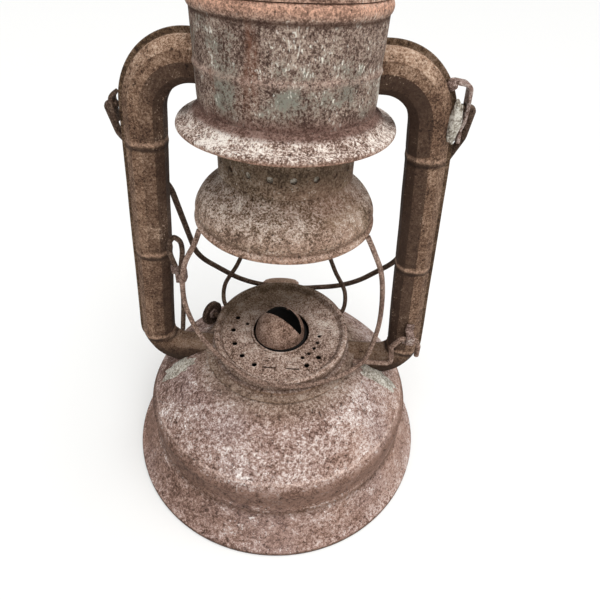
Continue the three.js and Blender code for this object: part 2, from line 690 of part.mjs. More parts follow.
const smooth = (points, steps) => new THREE.CatmullRomCurve3(points, false, 'centripetal').getPoints(steps);
const guardEnd = BELL_LIP_Z - GAP - 0.9;
const rearGuardEnd = BELL_LIP_Z - GAP - 0.3;
const rimReach = PLATE_R + GUARD_D / 2 + 0.6;
const aroundRim = (degrees, z) => {
  const angle = THREE.MathUtils.degToRad(degrees);
  return vector(rimReach * Math.cos(angle), rimReach * Math.sin(angle), z);
};
const leverRest = LEVER_Z - LEVER_CRANK + (LEVER_D + GUARD_D) / 2 + GAP;
const rimTurn = GUARD_RIM_DEGREES.map((degrees, i) => aroundRim(degrees, GUARD_RIM_HEIGHTS[i]));
addPart('front_guard', wire(smooth([
  vector(...GUARD_LEFT_END, guardEnd),
  ...GUARD_LEFT_DROP.map((point) => vector(...point)),
  ...rimTurn,
  vector(GUARD_LIFT_X[0], GUARD_LIFT_Y, leverRest - 2 * GAP),
  vector(GUARD_LIFT_X[1], LEVER_Y - LEVER_D, leverRest + GAP),
  ...GUARD_RIGHT_RISE.map((point) => vector(...point)),
  vector(...GUARD_RIGHT_END, guardEnd),
], 44), GUARD_D), MATERIALS.paleWire);
sides.forEach(({ name, sign }) => {
  const path = [
    [...REAR_GUARD_TOP, rearGuardEnd],
    ...REAR_GUARD_DROP,
    [...REAR_GUARD_FOOT, PLATE_Z - REAR_GUARD_TUCK],
  ].map(([x, y, z]) => vector(sign * x, y, z));
  addPart(`rear_guard_${name}`, wire(smooth(path, 20), GUARD_D), MATERIALS.wire);
});

// Burner
function makeBurnerBody() {
  const profile = [
    [BURNER_R, BURNER_FOOT],
    [BURNER_R, 0.55 * BURNER_FOOT + 0.45 * BURNER_TOP],
    [CONE_R - 0.6, BURNER_TOP - 3.4],
    [CONE_R + 0.2, BURNER_TOP],
  ];
  const inner = offsetProfile(profile, SHEET).reverse();
  const floor = BURNER_FOOT + SHEET;
  const cup = turned([[0, BURNER_FOOT], ...profile, ...inner.slice(0, -1),
    [BURNER_R - SHEET, floor], [0, floor]], SMALL_SEGMENTS);
  const slot = stadium(WICK_HALF + wickTubeHalf + GAP, wickTubeHalf + GAP);
  const wickSlot = sweep(
    [vector(0, 0, BURNER_FOOT - 1), vector(0, 0, floor + 1)], slot, { startNormal: driveOut },
  );
  return cut(cup, [wickSlot, shaftDrill]);
}
const wickTubeHalf = WICK_THICKNESS / 2 + GAP + WICK_TUBE_WALL;
addPart('burner_body', makeBurnerBody(), MATERIALS.burner);

const coneFoot = BURNER_TOP + 2 * GAP;
const coneArc = [0, 0.2, 0.4, 0.6, 0.8, 1].map((t) => [
  CONE_R * Math.cos((t * Math.PI) / 2),
  coneFoot + CONE_R * Math.sin((t * Math.PI) / 2),
]);
const slotAt = (z) => driveSide.clone().multiplyScalar(-SLOT_SHIFT).setZ(z);
const flameSlot = sweep(
  [slotAt(coneFoot + CONE_R / 3), slotAt(coneFoot + 2 * CONE_R)],
  stadium(SLOT_HALF_LENGTH, SLOT_HALF_WIDTH),
  { startNormal: driveOut },
);
addPart('burner_cone', cut(shell(coneArc, SHEET, SMALL_SEGMENTS), [flameSlot]), MATERIALS.burner);

const sprocketR = DRIVE_OFFSET - WICK_THICKNESS / 2 - GAP;
function makeWickTube() {
  const outline = stadium(WICK_HALF + wickTubeHalf, wickTubeHalf, 4);
  const bore = stadium(WICK_HALF + WICK_THICKNESS / 2 + GAP, WICK_THICKNESS / 2 + GAP, 4);
  const tube = sweep(
    [vector(0, 0, WICK_TUBE_FOOT), vector(0, 0, WICK_TUBE_TOP)], outline, { bore, startNormal: driveOut },
  );
  const windows = [-1, 1].map((sign) => {
    const tool = new THREE.BoxGeometry(SPROCKET_WIDTH + 2 * GAP, DRIVE_OFFSET, 2 * sprocketR);
    tool.translate(sign * SPROCKET_SPREAD, DRIVE_OFFSET / 2 + WICK_THICKNESS / 4, 0);
    return tool.rotateZ(DRIVE_AZIMUTH).translate(0, 0, SHAFT_Z);
  });
  return cut(tube, windows);
}
addPart('wick_tube', makeWickTube(), MATERIALS.burner);
const wickFoot = BASE_RAISE + BASE_PANEL_RISE + SHEET + WICK_TRAVEL + 3 * GAP;
addPart('wick', sweep(
  [vector(0, 0, wickFoot), vector(0, 0, WICK_TOP)],
  rectangle(2 * WICK_HALF, WICK_THICKNESS),
  { startNormal: driveOut },
), MATERIALS.wick);

addPart('wick_shaft', rod(onShaft(-2 * SPROCKET_SPREAD), onShaft(KNOB_START - GAP), SHAFT_R, 12), MATERIALS.wire);
const sprocketShape = new THREE.Shape(Array.from({ length: 2 * SPROCKET_TEETH }, (_, k) => {
  const radius = k % 2 ? 0.72 * sprocketR : sprocketR;
  const angle = (k / SPROCKET_TEETH) * Math.PI;
  return new THREE.Vector2(radius * Math.cos(angle), radius * Math.sin(angle));
}));
sprocketShape.holes.push(new THREE.Path(circle(SHAFT_R + GAP, 12).map(([u, v]) => new THREE.Vector2(u, v))));
[['a', -1], ['b', 1]].forEach(([name, sign]) => {
  const geometry = new THREE.ExtrudeGeometry(sprocketShape, { depth: SPROCKET_WIDTH, bevelEnabled: false });
  geometry.translate(0, 0, -SPROCKET_WIDTH / 2);
  const wheel = addPart(`wick_sprocket_${name}`, closedBody(geometry), MATERIALS.wire);
  wheel.position.copy(onShaft(sign * SPROCKET_SPREAD));
  wheel.quaternion.setFromUnitVectors(vector(0, 0, 1), driveOut);
});
const knob = addPart('wick_knob', turned([
  [0, 0],
  [2.6, 0],
  [2.8, 1.1],
  [KNOB_R - 1.2, 0.7],
  [KNOB_R - 0.3, 0.1],
  [KNOB_R, 0.5],
  [KNOB_R, KNOB_WIDTH - 0.5],
  [KNOB_R - 0.4, KNOB_WIDTH],
  [KNOB_R - 1.4, KNOB_WIDTH - 0.4],
  [2.4, KNOB_WIDTH - 1],
  [0, KNOB_WIDTH - 1],
], SMALL_SEGMENTS), MATERIALS.wire);
knob.position.copy(onShaft(KNOB_START));
knob.quaternion.setFromUnitVectors(vector(0, 0, 1), driveOut);

// Filler
addPart('filler_neck', shell([[NECK_R, -NECK_DEPTH], [NECK_R, NECK_TOP]], SHEET, SMALL_SEGMENTS), MATERIALS.fount, filler);
const gasketFoot = NECK_TOP + GAP;
const capCeiling = gasketFoot + GASKET_THICKNESS + GAP;
const capRoof = capCeiling + FILLER_CAP_ROOF;
addPart('filler_gasket', turned([
  [GASKET_BORE, gasketFoot],
  [NECK_R, gasketFoot],
  [NECK_R, gasketFoot + GASKET_THICKNESS],
  [GASKET_BORE, gasketFoot + GASKET_THICKNESS],
], SMALL_SEGMENTS), MATERIALS.gasket, filler);

function makeFillerCap() {
  const rim = Array.from({ length: 2 * FILLER_CAP_FLUTES }, (_, k) => {
    const radius = k % 2 ? FILLER_CAP_R - 0.5 : FILLER_CAP_R;
    const angle = (k / FILLER_CAP_FLUTES) * Math.PI;
    return [radius * Math.cos(angle), radius * Math.sin(angle)];
  });
  const levels = [
    { z: FILLER_CAP_FOOT, width: 1 },
    { z: capRoof - FILLER_CAP_ROOF, width: 1 },
    { z: capRoof, width: 0.9 },
    { z: capRoof + 0.7 * FILLER_CAP_CROWN, width: 0.6 },
    { z: capRoof + FILLER_CAP_CROWN, width: 0.25 },
  ];
  const body = sweep(levels.map(({ z }) => vector(0, 0, z)), rim, {
    startNormal: vector(1, 0, 0),
    shapeAt: (points, i) => points.map(([u, v]) => [u * levels[i].width, v * levels[i].width]),
  });
  const hollow = rod(vector(0, 0, 0), vector(0, 0, capCeiling), NECK_R + GAP, SMALL_SEGMENTS);
  return cut(body, [hollow]);
}
addPart('filler_cap', makeFillerCap(), MATERIALS.fount, filler);

// Ears: a strap from the tube's top bend, folded down and back onto the tube
const pivotHole = BAIL_D / 2 + GAP;
const tubeSlope = (TUBE_FOOT_X - TUBE_TOP_X) / (TUBE_TOP_Z - TUBE_FOOT_Z);
const earSeat = TUBE_OUTER + SEAM_WIDTH + GAP + EAR_SHEET / 2;
const seamX = (z) => TUBE_TOP_X + (TUBE_TOP_Z - z) * tubeSlope + earSeat;
const topBendX = TUBE_TOP_X - TUBE_TOP_BEND / Math.tan(Math.PI / 4 + Math.atan(tubeSlope) / 2);
const onTopBend = (angle) => [
  topBendX + (TUBE_TOP_BEND + earSeat) * Math.cos(angle),
  TUBE_TOP_Z - TUBE_TOP_BEND + (TUBE_TOP_BEND + earSeat) * Math.sin(angle),
];
const ears = {
  right: {
    x: EAR_X,
    pivot: PIVOT_Z,
    tail: BAIL_PIN_TAIL,
    path: [
      onTopBend(EAR_SEAT_ANGLE),
      [EAR_X - EAR_SHEET / 2, EAR_TOP],
      [EAR_X, PIVOT_Z],
      [EAR_X, EAR_FOLD + BAIL_D],
      [seamX(EAR_FOLD) + GAP, EAR_FOLD],
      [seamX(EAR_FOOT) + GAP, EAR_FOOT],
    ],
  },
  left: {
    x: LEFT_EAR_X,
    pivot: LEFT_PIVOT_Z,
    tail: LEFT_PIN_TAIL,
    path: [
      onTopBend(LEFT_EAR_SEAT_ANGLE),
      [LEFT_EAR_X, LEFT_EAR_TOP],
      [LEFT_EAR_X, LEFT_EAR_FOLD],
      [seamX(LEFT_EAR_FOOT), LEFT_EAR_FOOT],
    ],
  },
};
sides.forEach(({ name, sign }) => {
  const { x, pivot, path } = ears[name];
  const strap = sweep(
    roundedPath(path.map(([u, z]) => vector(sign * u, 0, z)), 2.5, 3),
    rectangle(EAR_SHEET, EAR_WIDTH),
    { startNormal: vector(0, 0, 1) },
  );
  const pin = [-1, 1].map((end) => vector(sign * (x + end * 2 * BAIL_D), 0, pivot));
  addPart(`${name}_ear`, cut(strap, [rod(pin[0], pin[1], pivotHole, 12)]), MATERIALS.strap);
});

// The line through both bail holes, which the bail turns about
const hinge = vector(ears.left.x + ears.right.x, 0, ears.right.pivot - ears.left.pivot).normalize();
const hingeMiddle = vector(0, 0, ears.left.pivot + ears.left.x * (hinge.z / hinge.x));

// A bail that reaches the filler cap lies on it, and a shorter one hangs in front of it.
function bailHang() {
  const drop = (point) => Math.hypot(point.y, hingeMiddle.z - point.z) - BAIL_D / 2 - BAIL_CLEARANCE;
  const outwards = fillerOut.clone().multiplyScalar(Math.cos(FILLER_TILT)).setZ(-Math.sin(FILLER_TILT));
  const capEdge = alongFiller(capRoof).addScaledVector(outwards, -FILLER_CAP_R);
  if (BAIL_LENGTH < drop(capEdge)) return BAIL_HANG;
  const crown = alongFiller(capRoof + FILLER_CAP_CROWN).dot(fillerAxis);
  const clear = hingeMiddle.z * Math.cos(FILLER_TILT) - crown - BAIL_D / 2 - BAIL_CLEARANCE;
  return Math.acos(clear / BAIL_LENGTH) - FILLER_TILT;
}

// Bail: pins through the ears, legs drawn in and a wide bow, hanging behind the lantern
const hang = bailHang();
const bailDown = vector(hinge.z * Math.cos(hang), Math.sin(hang), -hinge.x * Math.cos(hang));
const bailPoint = (along, reach) => hingeMiddle.clone()
  .addScaledVector(hinge, along).addScaledVector(bailDown, reach);
const bailBow = [
  { x: BAIL_HALF_WIDTH, reach: 0.34 * BAIL_LENGTH },
  { x: BAIL_HALF_WIDTH - 1, reach: 0.75 * BAIL_LENGTH },
  { x: 0.55 * BAIL_HALF_WIDTH, reach: BAIL_LENGTH - 5 },
];
const bailSide = ({ name, sign }) => {
  const { x, tail } = ears[name];
  const leg = x + EAR_SHEET / 2 + GAP + BAIL_D / 2 + 0.1;
  return [
    bailPoint(sign * (x - EAR_SHEET / 2 - tail), 0),
    bailPoint(sign * leg, 0),
    bailPoint(sign * leg, (PIVOT_Z - EAR_FOOT) / Math.cos(hang)),
    ...bailBow.map((point) => bailPoint(BAIL_SHIFT + sign * point.x, point.reach)),
  ];
};
const [leftSide, rightSide] = ['left', 'right'].map((name) => bailSide(sides.find((side) => side.name === name)));
addPart('bail', wire(roundedPath(
  [...leftSide, bailPoint(BAIL_SHIFT, BAIL_LENGTH), ...rightSide.reverse()],
  [...BAIL_BENDS, ...BAIL_BENDS.slice(0, -1).reverse()],
  4,
), BAIL_D), MATERIALS.wire);

// Lift lever: a crank under the guard, a journal in the staple and a thumb piece
addPart('lift_lever', wire(roundedPath([
  [LEVER_TOE_X, LEVER_Z - LEVER_CRANK],
  [LEVER_HEEL_X, LEVER_Z - LEVER_CRANK],
  [LEVER_NECK_X, LEVER_Z - LEVER_CRANK / 3],
  [LEVER_JOURNAL_X[0], LEVER_Z],
  [LEVER_JOURNAL_X[1], LEVER_Z],
  [LEVER_TIP_X - 0.4, LEVER_Z - 0.4 * LEVER_TIP_DROP],
  [LEVER_TIP_X, LEVER_Z - LEVER_TIP_DROP],
].map(([x, z]) => vector(x, LEVER_Y, z)), LEVER_BEND, 4), LEVER_D), MATERIALS.paleWire);

const staplePad = -TUBE_DEPTH - GAP - STAPLE_SHEET / 2 - 0.1;
const stapleBow = LEVER_D / 2 + GAP + STAPLE_SHEET / 2 + 0.2;
addPart('lever_staple', sweep(roundedPath([
  [staplePad, LEVER_Z + STAPLE_PAD],
  [staplePad, LEVER_Z + stapleBow],
  [LEVER_Y - stapleBow, LEVER_Z + stapleBow],
  [LEVER_Y - stapleBow, LEVER_Z - stapleBow],
  [staplePad, LEVER_Z - stapleBow],
  [staplePad, LEVER_Z - STAPLE_PAD],
].map(([y, z]) => vector(STAPLE_X, y, z)), [0.8, 1.6, 1.6, 0.8], 3), rectangle(STAPLE_SHEET, STAPLE_WIDTH), {
  startNormal: vector(0, 1, 0),
}), MATERIALS.strap);

// Guide: a wire spring beside the left guard, strapped to the tube
const eye = GUIDE_EYE.map(([x, y, z]) => vector(GUIDE_X + x, GUIDE_Y + y, z));
addPart('guide_wire', wire(smooth([
  vector(GUIDE_X - 1.25 * GUIDE_D, GUIDE_Y - 0.4 * GUIDE_D, GUIDE_FOOT),
  ...GUIDE_HEIGHTS.map((z) => vector(GUIDE_X, GUIDE_Y, z)),
  ...eye,
], 26), GUIDE_D), MATERIALS.wire);
addPart('guide_clip', sweep(roundedPath([
  CLIP_ROOT,
  [GUIDE_X - CLIP_REACH, CLIP_ROOT[1] - STAPLE_SHEET / 2],
  [GUIDE_X + CLIP_REACH, GUIDE_Y + 1.1 * CLIP_REACH],
  [GUIDE_X + CLIP_REACH, GUIDE_Y - 1.1 * CLIP_REACH],
  [GUIDE_X - 0.8 * CLIP_REACH, GUIDE_Y - 1.1 * CLIP_REACH],
].map(([x, y]) => vector(x, y, CLIP_Z)), STAPLE_SHEET, 3), rectangle(STAPLE_SHEET, CLIP_HEIGHT), {
  startNormal: vector(0, 1, 0),
}), MATERIALS.strap);

export default lantern;
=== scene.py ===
import bpy
import json
import math
from mathutils import Matrix, Vector, noise


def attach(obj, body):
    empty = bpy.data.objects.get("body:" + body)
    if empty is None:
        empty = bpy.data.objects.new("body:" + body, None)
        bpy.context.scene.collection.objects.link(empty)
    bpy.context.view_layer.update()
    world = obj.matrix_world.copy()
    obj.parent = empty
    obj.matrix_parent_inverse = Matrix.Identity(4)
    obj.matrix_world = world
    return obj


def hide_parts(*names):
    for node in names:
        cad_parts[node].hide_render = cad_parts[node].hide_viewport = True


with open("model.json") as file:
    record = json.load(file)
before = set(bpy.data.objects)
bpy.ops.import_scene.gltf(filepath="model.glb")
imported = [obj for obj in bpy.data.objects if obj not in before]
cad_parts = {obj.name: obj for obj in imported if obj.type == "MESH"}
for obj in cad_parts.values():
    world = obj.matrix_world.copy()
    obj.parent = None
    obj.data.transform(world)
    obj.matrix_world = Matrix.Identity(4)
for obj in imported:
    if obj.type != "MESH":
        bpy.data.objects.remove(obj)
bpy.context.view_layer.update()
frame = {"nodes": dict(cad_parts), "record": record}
NOISE_SEED = 3
noise.seed_set(NOISE_SEED)

# Lengths of the part are in millimetres, those of floor and lights in metres.
MM = 0.001
GAP = 0.3
SHEET = 0.9
WIDE = 144
SMALL = 72
WIRE_SIDES = 14
WIRE_END = 0.225
RIBS = (178.0, 126.0, 72.5)


# Materials

def linear(hex_colour):
    def channel(text):
        c = int(text, 16) / 255
        return c / 12.92 if c <= 0.04045 else ((c + 0.055) / 1.055) ** 2.4
    return tuple(channel(hex_colour[i:i + 2]) for i in (0, 2, 4)) + (1,)


def shade(hex_colour, by):
    return tuple(min(1.0, by * c) for c in linear(hex_colour)[:3]) + (1,)


class Nodes:
    """A small helper that adds shader nodes and links them."""

    def __init__(self, name):
        self.material = bpy.data.materials.new(name)
        self.material.use_nodes = True
        self.tree = self.material.node_tree
        self.shader = self.tree.nodes["Principled BSDF"]
        self.place = self.tree.nodes.new("ShaderNodeTexCoord").outputs["Object"]

    def link(self, source, target):
        self.tree.links.new(source, target)

    def noise(self, scale, detail, rough, offset=(0, 0, 0), stretch=(1, 1, 1)):
        mapping = self.tree.nodes.new("ShaderNodeMapping")
        mapping.inputs["Location"].default_value = offset
        mapping.inputs["Scale"].default_value = stretch
        self.link(self.place, mapping.inputs["Vector"])
        node = self.tree.nodes.new("ShaderNodeTexNoise")
        node.inputs["Scale"].default_value = scale
        node.inputs["Detail"].default_value = detail
        node.inputs["Roughness"].default_value = rough
        self.link(mapping.outputs["Vector"], node.inputs["Vector"])
        return node.outputs["Fac"]

    def math(self, kind, a, b):
        node = self.tree.nodes.new("ShaderNodeMath")
        node.operation = kind
        for value, socket in ((a, node.inputs[0]), (b, node.inputs[1])):
            if isinstance(value, (int, float)):
                socket.default_value = value
            else:
                self.link(value, socket)
        return node.outputs[0]

    def total(self, *terms):
        """Adds up (value, weight) pairs, each counted from its middle, around a half."""
        result = None
        for value, weight in terms:
            term = self.math("MULTIPLY", self.math("SUBTRACT", value, 0.5), weight)
            result = term if result is None else self.math("ADD", result, term)
        return self.math("ADD", result, 0.5)

    def ramp(self, factor, stops):
        node = self.tree.nodes.new("ShaderNodeValToRGB")
        elements = node.color_ramp.elements
        while len(elements) < len(stops):
            elements.new(0.5)
        for element, (position, colour) in zip(elements, stops):
            element.position = position
            element.color = colour
        self.link(factor, node.inputs["Fac"])
        return node.outputs["Color"]

    def mask(self, factor, low, high):
        """Runs from black at low to white at high, whichever of them is larger."""
        return self.ramp(factor, sorted([(low, (0, 0, 0, 1)), (high, (1, 1, 1, 1))]))

    def mix(self, factor, a, b):
        node = self.tree.nodes.new("ShaderNodeMix")
        node.data_type = "RGBA"
        sockets = {(s.name, s.type): s for s in node.inputs}
        self.link(factor, sockets["Factor", "VALUE"])
        for value, socket in ((a, sockets["A", "RGBA"]), (b, sockets["B", "RGBA"])):
            if isinstance(value, tuple):
                socket.default_value = value
            else:
                self.link(value, socket)
        return [s for s in node.outputs if s.type == "RGBA"][0]

    def parts(self, vector):
        split = self.tree.nodes.new("ShaderNodeSeparateXYZ")
        self.link(vector, split.inputs[0])
        return split.outputs

    def normal(self):
        return self.parts(self.tree.nodes.new("ShaderNodeNewGeometry").outputs["Normal"])

    def bump(self, height, strength, distance):
        node = self.tree.nodes.new("ShaderNodeBump")
        node.inputs["Strength"].default_value = strength
        node.inputs["Distance"].default_value = distance
        self.link(height, node.inputs["Height"])
        self.link(node.outputs["Normal"], self.shader.inputs["Normal"])


# Where the four colours of a tone sit, and the noise scales of rusted sheet from clouds to grain
STOPS = (0.2, 0.41, 0.57, 0.8)
BROAD, BLOTCH, FINE, GRAIN = 22, 120, 640, 1500
PIT_DEPTH, RELIEF, SHEEN = 0.25, 0.0008, 0.2


def painted_inward_shade(n, colour, tint, normal):
    """Painted shade: darkens what faces the lantern's middle or the ground, and more so on the right."""
    side_sign = n.math("SIGN", n.parts(n.place)["X"], 0)
    inward = n.math("ADD", n.math("MULTIPLY", side_sign, normal["X"]), normal["Z"])
    inward = n.math("MULTIPLY", inward, -0.9)
    down = n.math("MULTIPLY", normal["Z"], -1.0)
    uneven = n.math("ADD", 0.5, n.math("MULTIPLY", side_sign, 0.2))
    for facing, low, high, strength in (
            (inward, 0.06, 0.15, uneven), (inward, 0.35, 0.7, 0.45), (down, 0.03, 0.13, 0.6)):
        colour = n.mix(n.math("MULTIPLY", n.mask(facing, low, high), strength), colour, linear(tint))
    return colour


def shaded_rear(n, colour, start, stop, tint, strength, skew):
    """Fades to a tint between two depths; the skew turns the direction of the fade."""
    place = n.parts(n.place)
    back = n.math("SUBTRACT", place["Y"], n.math("MULTIPLY", place["X"], skew))
    back = n.math("DIVIDE", n.math("SUBTRACT", back, start * MM), (stop - start) * MM)
    back = n.math("MULTIPLY", n.math("MINIMUM", n.math("MAXIMUM", back, 0.0), 1.0), strength)
    return n.mix(back, colour, linear(tint))


def banded(n, colour, bands, mottled, fine):
    """Lays level bands over a colour, each a height, a half width, a tint and a strength. Some are painted
    shade and painted highlights, the others the sheet's own tones.
    """
    for height, half, tint, strength in bands:
        away = n.math("ABSOLUTE", n.math("SUBTRACT", n.parts(n.place)["Z"], height * MM), 0)
        near = n.math("SUBTRACT", 1.0, n.math("DIVIDE", away, half * MM))
        near = n.math("MULTIPLY", n.math("MAXIMUM", near, 0.0), strength)
        near = n.math("MINIMUM", n.math("MULTIPLY", near, n.math("ADD", 0.4, fine)), 0.9)
        tones = [(0.3, shade(tint, 0.62)), (0.5, linear(tint)), (0.7, shade(tint, 1.4))]
        colour = n.mix(near, colour, n.ramp(mottled, tones))
    return colour


def rust(name, side, top=None, seed=1.0, size=1.0, gain=1.0, pit="33241d", pits=0.385, zinc=None,
         zinc_low=0.58, fleck=None, fleck_low=0.62, fall=1.0, streak=None, bands=(), inner=None,
         rear=None, tints=(), lean=0.0, rough=0.9, bump=0.5):
    """Rusted sheet. Each tone is four colours from deep to pale: one for walls, one for what faces up. The
    inner and rear tints paint shade into the colour, and some bands paint shade and highlights.
    """
    n = Nodes(name)
    shift = (seed, 0.37 * seed, 0.71 * seed)
    broad = n.noise(BROAD * size, 4, 0.55, shift)
    blotch = n.noise(BLOTCH * size, 5, 0.6, shift)
    fine = n.noise(FINE * size, 4, 0.65, shift)
    grain = n.noise(GRAIN * size, 3, 0.65, shift)
    mottled = n.total((broad, 0.5 * gain), (blotch, 0.7 * gain), (fine, 1.6 * gain), (grain, 1.2 * gain))
    if lean:
        mottled = n.math("ADD", mottled, n.math("MULTIPLY", n.parts(n.place)["X"], lean))

    def tone(colours):
        return n.ramp(mottled, [(stop, linear(c)) for stop, c in zip(STOPS, colours)])
    colour = tone(side)
    normal = n.normal()
    if top:
        upward = n.mask(n.total((normal["Z"], 1.0), (blotch, 0.8)), 0.25, 0.75)
        colour = n.mix(upward, colour, tone(top))
    for k, (tint, low, strength) in enumerate(tints):
        cloud = n.noise((13 + 4 * k) * size, 3, 0.55, (seed + 9 * k + 5, 3, 1))
        cloud = n.mask(n.total((cloud, 1.4), (fine, 0.4)), low, low + 0.2)
        colour = n.mix(n.math("MULTIPLY", cloud, strength), colour, linear(tint))
    if zinc:
        left = n.total((n.noise(34 * size, 5, 0.65, (seed + 3, 1, 2)), 1.3), (fine, 0.8), (blotch, 0.5))
        colour = n.mix(n.mask(left, zinc_low, zinc_low + 0.24), colour, linear(zinc))
    if streak:
        runs = n.noise(95 * size, 6, 0.65, (seed, 2, 0), (1, 1, 0.16))
        colour = n.mix(n.mask(runs, 0.57, 0.85), colour, linear(streak))
    if inner:
        colour = painted_inward_shade(n, colour, inner, normal)
    if fleck:
        spots = n.noise(800 * size, 3, 0.6, (seed, 5, 1), (1, 1, fall))
        spots = n.total((spots, 1.0), (blotch, 0.6), (broad, 0.6))
        colour = n.mix(n.mask(spots, fleck_low, fleck_low + 0.1), colour, linear(fleck))
    if rear:
        colour = shaded_rear(n, colour, *rear)
    colour = banded(n, colour, bands, mottled, fine)
    holes = n.noise(620 * size, 3, 0.6, (2, seed, 4))
    holes = n.mask(n.total((holes, 1.0), (blotch, 0.35)), pits, pits - 0.07)
    colour = n.mix(n.math("MULTIPLY", holes, 0.8), colour, linear(pit))
    n.link(colour, n.shader.inputs["Base Color"])
    n.shader.inputs["Roughness"].default_value = rough
    n.shader.inputs["Specular IOR Level"].default_value = SHEEN
    scale = n.total((blotch, 0.6), (fine, 0.9), (grain, 0.6))
    n.bump(n.math("SUBTRACT", scale, n.math("MULTIPLY", holes, PIT_DEPTH)), bump, RELIEF)
    return n.material


def plain(name, colour, rough):
    n = Nodes(name)
    tint = n.noise(300, 4, 0.6)
    n.link(n.ramp(tint, [(0.35, shade(colour, 0.6)), (0.65, linear(colour))]), n.shader.inputs["Base Color"])
    n.shader.inputs["Roughness"].default_value = rough
    n.bump(tint, 0.4, 0.0005)
    return n.material


# On the fount, the dark bands at 20.5, 32.5 and 0.4 are painted shade in the groove, on the wall under the
# shoulder and on the rolled foot rim, and the pale band at 42.6 is a painted highlight along the shoulder
# ridge.
FOUNT = rust(
    "fount rust with painted shade and highlight", ("47332a", "775a4c", "947464", "b89a8c"), ("553f37", "8a6e63", "a98f85", "dccfc9"),
    seed=1.0, fleck="ece3de", fleck_low=0.66, lean=1.1, tints=(("ad8874", 0.5, 0.4), ("87787c", 0.54, 0.2)),
    bands=((20.5, 3.5, "5a4438", 0.8), (8, 11, "84675a", 0.45), (32.5, 10.5, "70564a", 2.0),
           (42.6, 0.9, "c9b0a4", 0.5), (67, 7, "77644f", 0.7), (0.4, 2.0, "4b3b33", 1.1)))
# The tubes get painted shade through the inner tint on what faces the middle or the ground, painted shade
# with dust round the foot bend at 60, and at each rib a painted highlight over it and painted shade under
# it.
TUBE = rust(
    "tube rust with painted shade and highlights", ("33241a", "62493a", "7f6450", "a88d78"), ("503a2b", "8d6f59", "ad907a", "cfb8a4"),
    seed=2.0, size=1.6, gain=0.8, pit="261a13", inner="3f2f26", fleck="b99f8a", fleck_low=0.7,
    bands=[(60, 15, "33251c", 1.1)] + [(rib + 0.5, 1.2, "a98b76", 0.7) for rib in RIBS]
    + [(rib - 1.8, 1.2, "2c1f17", 0.8) for rib in RIBS])
SEAM = rust("seam rust", ("2c1f17", "4a3829", "634e3b", "867060"), seed=2.5, size=1.6, gain=0.8)
# On the drum, the band at 228.8 is orange rust with a painted highlight on the top bead, the dark line at
# 225.2 is painted shade under the bead, and the pale band at 209.7 is a painted highlight on the pressed
# band.
DRUM = rust(
    "drum rust with painted shade and highlights", ("43322b", "705b51", "8c776b", "b7a596"), ("5a4339", "977a6c", "b4998b", "d6c3b8"),
    seed=3.0, size=1.7, gain=1.25, zinc="88877b", zinc_low=0.53, streak="7a4f3b", fleck="e6e2d6",
    fleck_low=0.645, fall=0.45,
    bands=((228.8, 3.6, "c2967f", 1.0), (225.2, 1.1, "4a352b", 1.0), (209.7, 2.2, "a4897c", 0.5),
           (196, 4, "6e5148", 0.9)))
SKIRT = rust(
    "skirt rust", ("5e483c", "94776a", "b59b8d", "e0d2c6"), ("5d463b", "a58c7f", "cbb8ac", "f4ebe2"),
    seed=4.0, size=1.7, gain=1.45, fleck="f4ece3", fleck_low=0.61, lean=2.2,
    bands=((195.4, 3.0, "6e5147", 2.0), (187.8, 1.4, "9a7460", 1.0)))
# On the bell, the dark line at 151.3 is painted shade in the crease above the rim, and the band at 178 is
# painted shadow of the skirt over the olive-brown neck.
BELL = rust(
    "bell rust and painted shade", ("3f3026", "6c5846", "8b7460", "ae9a88"), ("57432f", "967d6c", "b39c8d", "e2d4c8"),
    seed=5.0, size=1.8, gain=1.4, fleck="e8ddd0", fleck_low=0.63,
    tints=(("a8836f", 0.5, 0.4), ("7b7152", 0.55, 0.3)),
    bands=((149, 4, "a07c69", 0.6), (151.3, 1.0, "4a382c", 0.6), (155, 6, "a38474", 0.4),
           (178, 12, "57493a", 0.85)))
# The plate's rear tint is painted shade under the canopy, darker towards the back.
PLATE = rust(
    "plate rust and painted shade", ("453529", "71594a", "8b7263", "ad978a"), ("4c3b31", "917566", "b09586", "d8c5b8"),
    seed=6.0, size=1.6, gain=1.2, fleck="e4d9cd", fleck_low=0.67, rear=(2, 24, "463826", 0.78, 0.4))
BURNER = rust(
    "burner rust", ("4b382d", "7a5f51", "957a6b", "b59c8e"), ("513d32", "8f7060", "aa8c7a", "ccb3a4"),
    seed=7.0, size=1.8, gain=1.05, pits=0.37)
DARK_WIRE = rust(
    "dark wire rust", ("221812", "3f2f24", "57453a", "7d6a5c"), seed=8.0, size=1.8, gain=0.8, bump=0.4)
PALE_WIRE = rust(
    "pale wire rust", ("42322a", "715a4e", "907668", "baa496"), seed=9.0, size=1.8, gain=0.9, bump=0.4)
STRAP = rust(
    "strap rust", ("4a3a33", "7b645a", "9b837a", "c4b2a8"), seed=10.0, size=1.8, zinc="b0a59d", zinc_low=0.6)
SOLDER = rust(
    "solder", ("6b6257", "989083", "b9b2a6", "dad6cc"), seed=11.0, size=1.2, gain=1.1, pits=0.38, rough=0.8)
COTTON = plain("wick cotton", "4a4136", 1.0)
SOOT = plain("soot", "1b1612", 1.0)
DUST = rust("vent dust", ("5c5244", "8f8576", "aba294", "cbc4b8"), seed=12.0, size=2.0, gain=1.2)
RUBBER = plain("gasket rubber", "2a2522", 0.8)


# Meshes

def loop_area(loop):
    return 0.5 * sum(a[0] * b[1] - b[0] * a[1] for a, b in zip(loop, loop[1:] + loop[:1]))


def anticlockwise(loop):
    return loop if loop_area(loop) > 0 else loop[::-1]


